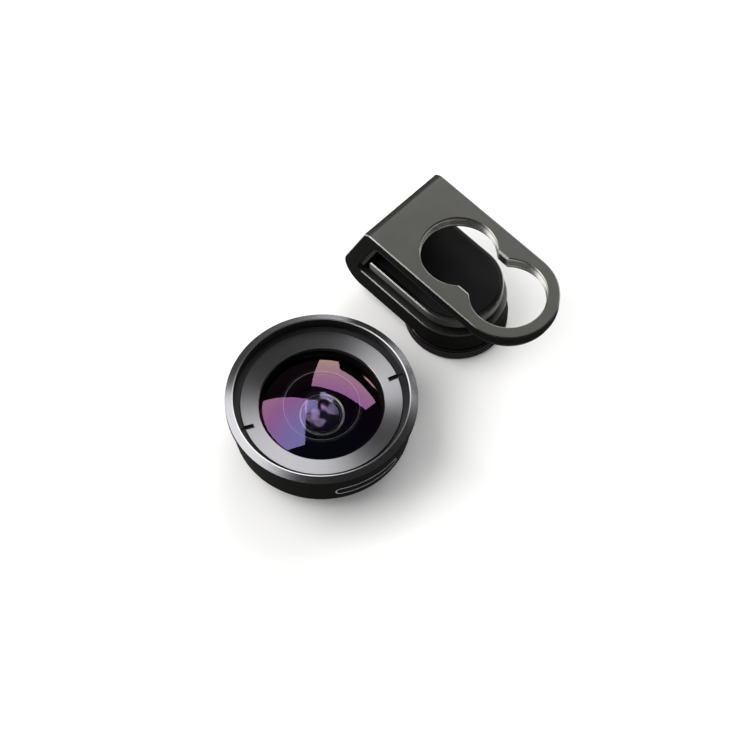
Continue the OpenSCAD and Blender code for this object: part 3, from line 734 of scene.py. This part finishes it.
class LENSCLIP_OT_plate(bpy.types.Operator):
    """Builds the pressure plate, with chamfered edges and a tray for its pad"""

    bl_idname = "lensclip.plate"
    bl_label = "Pressure plate"

    def execute(self, context):
        s, c = context.scene.lensclip_knob, context.scene.lensclip_colours
        # Clear anodised aluminium, milled: satin metal painted dark as the shade of the clip over it, with brighter cut
        # edges
        plate_face_painted_shade = grainy_metal("clear_anodised_aluminium_painted_shade", c.plate, 0.34, 0.00015, 0.000002, 0.05)
        cut = grainy_metal("cut_clear_anodised_aluminium", linear("B0B0AD"), 0.24, 0.00008, 0.0000004, 0.03)
        low, high = float(PLATE_LOW[2]), float(PLATE_HIGH[2])
        e, half, tail = s.plate_edge, float(PLATE_HIGH[1]), float(PLATE_LOW[0])
        tray, web = high - 0.0008, low + 0.001
        plan = ArmPlan(tail, 0.0, half, 0.0033, 0.0, np.linspace(-half, half, 15))
        rows = [("outer", e, 0, low, 1, 1, 0), ("outer", 0, 0, low + e, 1, 0, 0),
                ("outer", 0, 0, high - e, 1, 1, 0), ("outer", e, 0, high, 1, 0, 0),
                ("outer", s.tray_rim, 0, high, 1, 0, 0), ("outer", s.tray_rim, 0, tray, 1, 0, 0),
                ("hole", 0.0033, 0, tray, 1, 0, 0), ("hole", 0.0033, 0, web, 1, 0, 0),
                ("hole", 0.00185, 0, web, 1, 0, 0), ("hole", 0.00185, 0, low, 1, 0, 0)]
        piece("plate_body", [arm(plan, rows, False)], [plate_face_painted_shade, cut], "plate", ["pressure_plate"])
        return {"FINISHED"}


class LENSCLIP_OT_knob(bpy.types.Operator):
    """Builds the knurled thumb knob and the clamp screw, and finishes the screw's small fittings"""

    bl_idname = "lensclip.knob"
    bl_label = "Thumb knob and screw"

    def execute(self, context):
        s, c = context.scene.lensclip_knob, context.scene.lensclip_colours
        # Black anodised aluminium, diamond knurled: dark, with a painted glint on each tooth and painted shade between
        # the teeth
        black = knurled_metal("knurled_black_anodised_aluminium_painted_glints", c.knob)
        # The same metal turned on its faces: faint rings
        faced = turned_metal("turned_black_anodised_aluminium", c.knob, 0.4, 0.0, 0.00025, 0.000008, 0.3, 0.0, False, 0.02)
        # A painted highlight: a thin lighter line round the edge of its upper face
        edge_painted_highlight = turned_metal("knob_edge_painted_highlight", linear("6A6968"), 0.3, 0.0, 0.0002, 0.000002, 0.0, 1.0)
        r, h, d = s.radius, s.height, s.knurl_depth
        around, count = s.knurls * 6, s.knurls
        rows = 25
        turn = np.arange(around) / around
        z = np.linspace(0.00035, h - 0.00035, rows)[:, None]
        # Deep V grooves at 30 degrees one way and shallow ones the other way, as a roller knurl leaves them.
        # Drawn a little coarser than the real 0.5 mm pitch, so that it shows in the main view.
        slope = count / (2 * np.pi * r) * np.tan(np.radians(30))
        one = np.abs(2 * ((turn * count + z * slope) % 1) - 1)
        two = np.abs(2 * ((turn * count - z * slope) % 1) - 1)
        tooth = np.minimum(one, 0.5 + 0.5 * two)
        end = np.clip(np.minimum(z - z[0], z[-1] - z) / 0.0003, 0, 1)
        radius = r - 0.00006 - d * (1 - np.minimum(tooth * 1.4, 1)) * (0.25 + 0.75 * end)
        side = np.stack([radius * np.cos(2 * np.pi * turn), radius * np.sin(2 * np.pi * turn), z + 0 * turn], -1)
        ring = lambda rr, zz: np.stack([rr * np.cos(2 * np.pi * turn), rr * np.sin(2 * np.pi * turn), zz + 0 * turn], -1)
        low = np.stack([ring(0 * turn, 0.0), ring(r * 0.5 + 0 * turn, 0.0), ring(r - 0.00036 + 0 * turn, 0.0)])
        patches = [grid(low, [0, 0, 0], None, (False, True), 1)]
        rim_low = np.stack([low[-1], side[0]])
        patches.append(grid(rim_low, None, None, (False, True), 1))
        patches.append(grid(side, None, None, (False, True), 0))
        bore = s.screw + 0.00003
        top = np.stack([side[-1], ring(r - 0.00033 + 0 * turn, h - 0.00006), ring(r - 0.0004 + 0 * turn, h), ring(bore + 0 * turn, h),
                        ring(bore + 0 * turn, 0.0009), ring(0 * turn, 0.0009)])
        patches.append(grid(top, [0, 1, 1, 1, 1, 0], None, (False, True), np.array([1, 2, 1, 1, 1])))

        def crest(co):
            """Height of each point between the knurl's valley and its crest."""
            size = np.hypot(co[:, 0], co[:, 1])
            return np.clip((size - (r - 0.00006 - d)) / d, 0, 1) * (co[:, 2] > 0.0003) * (co[:, 2] < h - 0.0003)

        piece("knob_body", patches, [black, faced, edge_painted_highlight], "knob", ["thumb_knob"], crest)

        # Turned and nickel-plated steel: a rolled thread with bright crests
        steel = grainy_metal("nickel_plated_steel", c.steel, 0.25, 0.0001, 0.000004, 0.06)
        low_z, high_z = (float(v[2]) for v in low_high("clamp_screw"))
        shoulder = float(PLATE_LOW[2])
        profile = [(0.0, low_z)] + [(s.screw - 0.0004, low_z)]
        profile += wall(s.screw - 0.0004, low_z + 0.0002, shoulder - 0.0004, 0.0004)
        profile += [(s.screw, shoulder - 0.0003), (s.screw, shoulder), (0.0018, shoulder),
                    (0.0018, high_z - 0.0001), (0.0017, high_z), (0.00103, high_z),
                    (0.00103, high_z - 0.0032), (0.0, high_z - 0.0032)]
        piece("screw_body", [spin(profile, 0.0, 72, s.lead, closed=False)], [steel], "knob", ["clamp_screw"])
        for node in ("plate_washer", "plate_screw"):
            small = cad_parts[node]
            for i in range(len(small.material_slots)):
                small.material_slots[i].material = steel
        return {"FINISHED"}


class LENSCLIP_OT_barrel(bpy.types.Operator):
    """Builds the tapered lens barrel and the plain oval mark on its side"""

    bl_idname = "lensclip.barrel"
    bl_label = "Lens barrel"

    def execute(self, context):
        s, c = context.scene.lensclip_lens, context.scene.lensclip_colours
        # Matt black anodised aluminium, finely turned: an even deep black that only greys at its edges
        gloss = turned_metal("turned_matt_black_anodised_aluminium", c.barrel, 0.5, LENS_Y, 0.0003, 0.000003, 0.0, 0.0, True, 0.004)
        low, high = (float(v[2]) for v in low_high("lens_barrel"))
        profile = [(0.0086, low), (s.rear - 0.0009, low), (s.rear - 0.0002, low + 0.0004), (s.rear, low + 0.0008),
                   (s.barrel - 0.00002, high - 0.00025), (s.barrel - 0.0002, high), (0.01893, high), (0.01893, 0.0112),
                   (0.01463, 0.0112), (0.01463, 0.006), (0.0086, 0.006)]
        piece("barrel_body", [spin(profile, LENS_Y, 256)], [gloss], "clip", ["lens_barrel"])

        # Oval mark: a thin printed line, a closed track of two straight sides and two round ends
        ink = printed_ink("printed_grey_ink")
        tall, wide, line = 0.0014, 0.0076, 0.00007
        t = np.arange(240) / 240
        straight, round_end = 2 * (wide - tall), np.pi * tall
        whole = 2 * (straight + round_end)
        run = t * whole
        u = np.where(run < straight, run - straight / 2,
            np.where(run < straight + round_end, straight / 2 + tall * np.sin((run - straight) / tall),
            np.where(run < 2 * straight + round_end, straight / 2 - (run - straight - round_end),
                     -straight / 2 - tall * np.sin((run - 2 * straight - round_end) / tall))))
        v = np.where(run < straight, -tall,
            np.where(run < straight + round_end, -tall * np.cos((run - straight) / tall),
            np.where(run < 2 * straight + round_end, tall, tall * np.cos((run - 2 * straight - round_end) / tall))))
        du, dv = np.roll(u, -1) - np.roll(u, 1), np.roll(v, -1) - np.roll(v, 1)
        size = np.hypot(du, dv)
        nu, nv = dv / size, -du / size
        middle = (low + high) / 2 + 0.0002

        def on_barrel(a, b, out):
            """A point a along and b up the barrel's tapered side, lifted out from it."""
            z = middle + b
            share = (z - low - 0.0008) / (high - 0.00025 - low - 0.0008)
            rr = s.rear + (s.barrel - 0.00002 - s.rear) * share + out
            angle = s.mark_turn + a / s.barrel
            return np.stack([rr * np.cos(angle), LENS_Y + rr * np.sin(angle), z], -1)

        track = np.stack([on_barrel(u + k * line * nu, v + k * line * nv, lift)
                          for k, lift in ((-1, -0.00001), (-1, 0.000015), (1, 0.000015), (1, -0.00001))])
        piece("oval_mark", [grid(track, [1, 1, 1, 1], None, (True, True))], [ink], "clip")
        return {"FINISHED"}


class LENSCLIP_OT_rim(bpy.types.Operator):
    """Builds the bevelled front rim with its filter thread"""

    bl_idname = "lensclip.rim"
    bl_label = "Front rim"

    def execute(self, context):
        s, c = context.scene.lensclip_lens, context.scene.lensclip_colours
        # Turned aluminium under clear grey anodising: silver bands and fine rings on the bevel
        turned = turned_metal("turned_grey_anodised_aluminium", c.rim, 0.27, LENS_Y, 0.00014, 0.000004, 0.5)
        low, high = float(RIM_LOW[2]), float(RIM_HIGH[2])
        # The upright edge is black like the barrel; the bevel above it is turned bright at 25 degrees
        black = turned_metal("black_anodised_rim_edge", c.barrel, 0.5, LENS_Y, 0.0003, 0.000003, 0.0, 0.0, True, 0.004)
        # A narrow lip inside the bevel, left bright by the last cut: a thin light line round the opening
        lip = turned_metal("bright_cut_lip", linear("A4A4A6"), 0.3, LENS_Y, 0.0001, 0.000001, 0.3)
        # The filter thread, its colour darker than the rim's metal as painted shade inside the rim: fine dark rings
        # with light on their crests
        tapped = turned_metal("filter_thread_painted_shade", linear("464648"), 0.3, LENS_Y, 0.0002, 0.000002, 0.0, 1.0, True)
        edge = low + 0.0011
        knee = high - 0.0007
        profile = [(s.thread + 0.0006, low), (s.thread + 0.0006, edge, 0, 1, 1), (s.rim - 0.00008, edge, 0, 0, 1),
                   (s.rim, edge + 0.00008, 0, 0, 1), (s.rim, knee - 0.00004, 0, 1, 1), (s.rim - 0.00003, knee + 0.00002),
                   (s.thread + 0.00024, high, 0, 1, 2), (s.thread, high - 0.00007, 0, 1, 3)]
        profile += wall(s.thread, high - 0.0002, low + 0.0001, 0.00028, finish=3)
        profile += [(s.thread, low)]
        piece("rim_body", [spin(profile, LENS_Y, 360)], [turned, black, lip, tapped], "clip", ["front_rim"])
        return {"FINISHED"}


class LENSCLIP_OT_ring(bpy.types.Operator):
    """Builds the retaining ring with its sloping face and two spanner slots"""

    bl_idname = "lensclip.ring"
    bl_label = "Retaining ring"

    def execute(self, context):
        s, c = context.scene.lensclip_lens, context.scene.lensclip_colours
        # Face-turned aluminium under grey anodising: light sweeps round it in soft spokes
        faced = turned_metal("face_turned_grey_anodised_aluminium", c.ring, 0.28, LENS_Y, 0.0001, 0.000002, 0.7)
        bright = turned_metal("cut_edge_of_retaining_ring", linear("D8D8D8"), 0.2, LENS_Y, 0.0001, 0.000001, 0.3)
        # The low flange and the slots: the same metal, darkened as painted shade
        dark = flat_black("anodised_flange_painted_shade", linear("1A1A1B"), 0.5)
        low, high = (float(v[2]) for v in low_high("retaining_ring"))
        flange, outer = low + 0.0009, 0.0189
        sink = flange - 0.0003
        b = 0.0001
        radii = np.array([s.ring_bore, s.ring_bore, s.ring_bore + b, s.slot_start, s.slot_start, s.slot_start,
                          s.ring_face - b, s.ring_face, s.ring_face, outer, outer, s.ring_bore])
        slope = (high - flange) / (s.ring_face - s.ring_bore)
        on_face = lambda r: flange + (r - s.ring_bore) * slope
        top = np.array([low, flange - b, on_face(s.ring_bore + b), on_face(s.slot_start), on_face(s.slot_start),
                        on_face(s.slot_start), on_face(s.ring_face - b), high - b, flange, flange, low, low])
        cut = np.array([low, flange - b, on_face(s.ring_bore + b), on_face(s.slot_start), on_face(s.slot_start),
                        sink, sink, sink, sink, sink, low, low])
        # Turn stations: each slot has its two walls as double columns, from the slot's half angle at each radius
        spread = lambda a, z, n: a + (z - a) * np.arange(n) / n
        columns = []
        for k in (0, 1):
            base = s.slot_turn + k * np.pi
            columns += [(base, -1, 0, 0), (base, -1, 1, 0), (base, 0, 1, 0), (base, 1, 1, 0), (base, 1, 0, 0)]
            columns += [(base, 1, 0, f) for f in spread(0, 1, 140)[1:]]
        start = np.array([p[0] for p in columns])[None]
        sign = np.array([p[1] for p in columns])[None]
        open_ = np.array([p[2] for p in columns])[None]
        part = np.array([p[3] for p in columns])[None]
        half = np.arcsin(s.slot_width / 2 / np.maximum(radii, s.slot_start))[:, None]
        turn = start + sign * half + part * (np.pi - 2 * half)
        z = top[:, None] * (1 - open_) + cut[:, None] * open_
        points = np.stack([radii[:, None] * np.cos(turn), LENS_Y + radii[:, None] * np.sin(turn), z], -1)
        sharp = [1, 1, 1, 0, 1, 1, 1, 1, 1, 1, 1, 1]
        cols = np.zeros(len(columns), bool)
        for k in (0, 144):
            cols[[k, k + 1, k + 3, k + 4]] = True
        coat = np.array([2, 1, 0, 0, 0, 0, 1, 2, 2, 2, 2, 2])
        patch = list(grid(points, sharp, cols, (True, True), coat))
        gj = len(columns)
        col = np.arange(len(patch[1])) % gj
        row = np.arange(len(patch[1])) // gj
        # The slots' walls and floor take the flange's painted shade
        slot_painted_shade = ((col % 144) < 4) & (row >= 4) & (row <= 9)
        patch[3] = np.where(slot_painted_shade, 2, patch[3])
        piece("ring_body", [tuple(patch)], [faced, bright, dark], "clip", ["retaining_ring"])
        return {"FINISHED"}


class LENSCLIP_OT_inside(bpy.types.Operator):
    """Builds the black sleeve, the mount ring with its thread, and the two glass-holding rings"""

    bl_idname = "lensclip.inside"
    bl_label = "Sleeve and mount ring"

    def execute(self, context):
        c = context.scene.lensclip_colours
        # Flat black anodising: swallows stray light between the glasses
        flat = flat_black("flat_black_anodised_aluminium", c.inner)
        satin = turned_metal("satin_black_anodised_aluminium", c.barrel, 0.34, LENS_Y, 0.0002, 0.000004, 0.0, 0.0, False, 0.1)
        bright = turned_metal("satin_turned_holder", linear("C2BEC6"), 0.45, LENS_Y, 0.0001, 0.000001, 0.0)
        low, high = (float(v[2]) for v in low_high("element_sleeve"))
        inner = 0.0125
        profile = [(inner, low), (0.0146, low), (0.0146, high), (0.0077, high), (0.0077, high - 0.0006),
                   (inner, high - 0.0006)]
        piece("sleeve_body", [spin(profile, LENS_Y, 192)], [flat], "clip", ["element_sleeve"])

        mount = [(0.00658, 0.0), (0.00785, 0.0)] + wall(0.00795, 0.0003, 0.0025, 0.0002)
        mount += [(0.00785, 0.0026), (0.0108, 0.0026), (0.011, 0.0028), (0.011, 0.0042), (0.00857, 0.0042),
                  (0.00857, 0.006), (0.00693, 0.006), (0.00693, 0.0036), (0.0054, 0.0036), (0.0054, 0.0032), (0.00658, 0.0032)]
        piece("mount_body", [spin(mount, LENS_Y, 192)], [satin], "clip", ["mount_ring"])
        holder = [(0.0063, 0.0048), (0.0069, 0.0048), (0.0069, 0.00555), (0.00685, 0.0056, 0, 1, 1), (0.00672, 0.0056, 0, 1, 1), (0.0063, 0.005)]
        piece("middle_ring", [spin(holder, LENS_Y, 128)], [flat, bright], "clip", ["middle_retainer"])
        holder = [(0.0056, 0.0002), (0.00655, 0.0002), (0.00655, 0.0009), (0.0056, 0.0009)]
        piece("rear_ring", [spin(holder, LENS_Y, 128)], [satin], "clip", ["rear_retainer"])
        return {"FINISHED"}


class LENSCLIP_OT_glass(bpy.types.Operator):
    """Builds the four glass elements, each a closed body between two spherical faces"""

    bl_idname = "lensclip.glass"
    bl_label = "Glass elements"

    def execute(self, context):
        s, c = context.scene.lensclip_lens, context.scene.lensclip_colours
        # Dense optical glass, polished and coated: clear, nearly black against the dark barrel
        front = coated_glass("coated_front_glass", c.coat_face, c.coat_lean, c.coat_graze, 1.95)
        middle = coated_glass("coated_middle_glass", linear("B49CFF"), linear("CF92F0"), linear("E6BCE8"), 1.6)
        # Ground edge, blackened, so that it doesn't leak light
        black = flat_black("blackened_glass_edge", c.inner)
        # Fine-ground edge of the hollow, left white: it shows as a thin pale circle through the front
        ground = grainy_metal("fine_ground_glass_edge", linear("7C8096"), 0.5, 0.00008, 0.000001, 0.25, 0.0)

        def cap(curve, r, top, n, finish=0):
            """Rows up a spherical cap from radius r to the axis, with its highest point at top."""
            rr = r * np.cos(np.linspace(0, np.pi / 2, n))
            return [(x, top - curve + np.sqrt(curve ** 2 - x ** 2), 0, 1 if i == 0 else 0, finish) for i, x in enumerate(rr)]

        dome_r, back, seat = s.ring_bore - 0.0001, 0.0088, 0.0112
        top = seat + s.dome - np.sqrt(s.dome ** 2 - dome_r ** 2)
        hollow_top = top - 0.0024
        mouth = np.sqrt(s.hollow ** 2 - (back - hollow_top + s.hollow) ** 2)
        profile = cap(s.hollow, mouth, hollow_top, 40)[::-1]
        profile[-1] = (mouth, back, 0, 1, 2)
        profile += [(mouth + 0.0001, back, 0, 1, 1), (0.0146, back, 0, 1, 1), (0.0146, seat, 0, 1, 1)] + cap(s.dome, dome_r, top, 56)
        piece("front_glass", [spin(profile, LENS_Y, 192, closed=False)], [front, black, ground], "clip", ["front_element"])

        r, seat = 0.0062, 0.0048
        top = seat + 0.0085 - np.sqrt(0.0085 ** 2 - r ** 2)
        under = top - 0.0014
        mouth = np.sqrt(0.007 ** 2 - (0.0036 - under + 0.007) ** 2)
        profile = cap(0.007, mouth, under, 24)[::-1]
        profile[-1] = (mouth, 0.0036, 0, 1, 1)
        profile += [(0.0069, 0.0036, 0, 1, 1), (0.0069, seat, 0, 1, 1)] + cap(0.0085, r, top, 28)
        piece("middle_glass", [spin(profile, LENS_Y, 128, closed=False)], [middle, black], "clip", ["middle_element"])

        r, seat = 0.0052, 0.0032
        top = seat + 0.014 - np.sqrt(0.014 ** 2 - r ** 2)
        cement = 0.0022 - (0.03 - np.sqrt(0.03 ** 2 - 0.00655 ** 2))
        lower = [(x, cement + 0.03 - np.sqrt(0.03 ** 2 - x ** 2), 0, 0, 0) for x in np.linspace(0, 0.00655, 16)]
        lower[-1] = (0.00655, 0.0022, 0, 1, 1)
        profile = lower + [(0.00655, seat, 0, 1, 1)] + cap(0.014, r, top, 16)
        piece("rear_crown_glass", [spin(profile, LENS_Y, 96, closed=False)], [middle, black], "clip", ["rear_crown"])
        upper = [(x, z - 0.00003, a, b, f) for x, z, a, b, f in lower]
        profile = [(0.0, 0.0009, 0, 0, 0), (0.00655, 0.0009, 0, 1, 1)] + upper[::-1]
        piece("rear_flint_glass", [spin(profile, LENS_Y, 96, closed=False)], [middle, black], "clip", ["rear_flint"])
        return {"FINISHED"}


class LENSCLIP_OT_stage(bpy.types.Operator):
    """Sets the pale floor, two soft lamps, the background and the camera"""

    bl_idname = "lensclip.stage"
    bl_label = "Floor, lamps and camera"

    def execute(self, context):
        scene, c = context.scene, context.scene.lensclip_colours
        t = np.linspace(-3, 3, 3)
        x, y = np.meshgrid(t, t, indexing="ij")
        points = np.stack([x, y, 0 * x - 0.00002], -1)
        pts, faces, _, _, _ = grid(points)
        mesh = bpy.data.meshes.new("floor")
        mesh.from_pydata(pts.tolist(), [], faces.tolist())
        mesh.update()
        floor = bpy.data.objects.new("floor", mesh)
        scene.collection.objects.link(floor)
        # Matt white card: pale, with only the object's soft shadow on it
        material, tree = empty_finish("matt_white_card")
        base = add(tree, "ShaderNodeBsdfPrincipled", {"Base Color": tuple(c.floor), "Roughness": 0.9})
        add(tree, "ShaderNodeOutputMaterial", {}, {"Surface": base.outputs[0]})
        mesh.materials.append(material)

        world = bpy.data.worlds.new("studio")
        world.use_nodes = True
        tree = world.node_tree
        tree.nodes.clear()
        path = add(tree, "ShaderNodeLightPath")
        way = add(tree, "ShaderNodeTexCoord").outputs["Generated"]
        height = add(tree, "ShaderNodeSeparateXYZ", {}, {"Vector": way})
        # The white backdrop stands round the floor; above it the studio is dark
        sweep = add(tree, "ShaderNodeMapRange", {"From Min": 0.03, "From Max": 0.12, "To Min": 1.0, "To Max": 0.04},
                    {"Value": height.outputs["Z"]})
        seen = add(tree, "ShaderNodeMath", {"operation": "MAXIMUM"}, {0: sweep.outputs[0], 1: path.outputs["Is Camera Ray"]})
        backdrop = add(tree, "ShaderNodeBackground", {"Strength": 1.0}, {"Color": seen.outputs[0]})
        dim = add(tree, "ShaderNodeBackground", {"Color": (0.97, 0.98, 1.0, 1.0), "Strength": 0.56})
        glossy = add(tree, "ShaderNodeMath", {"operation": "MAXIMUM"},
                     {0: path.outputs["Is Glossy Ray"], 1: path.outputs["Is Transmission Ray"]})
        shown = add(tree, "ShaderNodeMath", {"operation": "MAXIMUM"}, {0: glossy.outputs[0], 1: path.outputs["Is Camera Ray"]})
        mix = add(tree, "ShaderNodeMixShader", {}, {0: shown.outputs[0], 1: dim.outputs[0], 2: backdrop.outputs[0]})
        add(tree, "ShaderNodeOutputWorld", {}, {"Surface": mix.outputs[0]})
        scene.world = world

        # Each lamp is a plain softbox: the way to its middle, the way of its long side, its sides and its power
        aim = Vector((0.0, LENS_Y, 0.012))
        for name, way, along, wide, tall, power in (
            ("softbox_behind", (-0.307, 0.779, 0.560), (0.928, 0.372, -0.022), 0.87, 0.63, 6.0),
            ("softbox_left", (-0.584, -0.436, 0.696), (-0.571, -0.527, -0.631), 1.07, 0.85, 9.6),
        ):
            lamp = bpy.data.lights.new(name, "AREA")
            lamp.shape, lamp.size, lamp.size_y, lamp.energy = "RECTANGLE", wide, tall, power
            box = bpy.data.objects.new(name, lamp)
            scene.collection.objects.link(box)
            box.visible_camera = False
            out = Vector(way).normalized()
            across = (Vector(along) - out * out.dot(Vector(along))).normalized()
            turn = Matrix((across, out.cross(across), out)).transposed().to_4x4()
            box.matrix_world = Matrix.Translation(aim + out * 0.9) @ turn

        camera = bpy.data.cameras.new("camera")
        camera.sensor_width, camera.lens = 36.0, 2773.3 / 750 * 36
        camera.clip_start, camera.clip_end = 0.01, 20.0
        view = bpy.data.objects.new("camera", camera)
        scene.collection.objects.link(view)
        right, up = Vector((0.704366, 0.709837, 0.0)), Vector((-0.620830, 0.616046, 0.484827))
        back = right.cross(up)
        turn = Matrix((right, up, back)).transposed().to_4x4()
        view.matrix_world = Matrix.Translation(Vector((0.202055, -0.225089, 0.517833))) @ turn
        scene.camera = view
        scene.view_settings.view_transform = "Standard"
        return {"FINISHED"}


class LENSCLIP_PT_panel(bpy.types.Panel):
    """Lists the pieces and their sizes in the sidebar"""

    bl_idname = "LENSCLIP_PT_panel"
    bl_label = "Clip-on phone lens"
    bl_space_type = "VIEW_3D"
    bl_region_type = "UI"
    bl_category = "Lens Clip"

    def draw(self, context):
        for operator in OPERATORS:
            self.layout.operator(operator.bl_idname)
        for group in (context.scene.lensclip_clip, context.scene.lensclip_knob,
                      context.scene.lensclip_lens, context.scene.lensclip_colours):
            box = self.layout.box()
            for key in group.__annotations__:
                box.prop(group, key)


GROUPS = {"lensclip_clip": ClipSizes, "lensclip_knob": KnobSizes,
          "lensclip_lens": LensSizes, "lensclip_colours": FinishColours}
OPERATORS = (LENSCLIP_OT_frame, LENSCLIP_OT_pads, LENSCLIP_OT_plate, LENSCLIP_OT_knob, LENSCLIP_OT_barrel,
             LENSCLIP_OT_rim, LENSCLIP_OT_ring, LENSCLIP_OT_inside, LENSCLIP_OT_glass, LENSCLIP_OT_stage)


def register():
    for group in GROUPS.values():
        bpy.utils.register_class(group)
    for name, group in GROUPS.items():
        setattr(bpy.types.Scene, name, bpy.props.PointerProperty(type=group))
    for operator in OPERATORS:
        bpy.utils.register_class(operator)
    bpy.utils.register_class(LENSCLIP_PT_panel)


def unregister():
    bpy.utils.unregister_class(LENSCLIP_PT_panel)
    for operator in reversed(OPERATORS):
        bpy.utils.unregister_class(operator)
    for name in GROUPS:
        delattr(bpy.types.Scene, name)
    for group in reversed(list(GROUPS.values())):
        bpy.utils.unregister_class(group)


def main():
    """Builds every piece in order."""
    register()
    bpy.ops.lensclip.frame()
    bpy.ops.lensclip.pads()
    bpy.ops.lensclip.plate()
    bpy.ops.lensclip.knob()
    bpy.ops.lensclip.barrel()
    bpy.ops.lensclip.rim()
    bpy.ops.lensclip.ring()
    bpy.ops.lensclip.inside()
    bpy.ops.lensclip.glass()
    bpy.ops.lensclip.stage()
    bpy.context.view_layer.update()


if __name__ == "__main__":
    main()
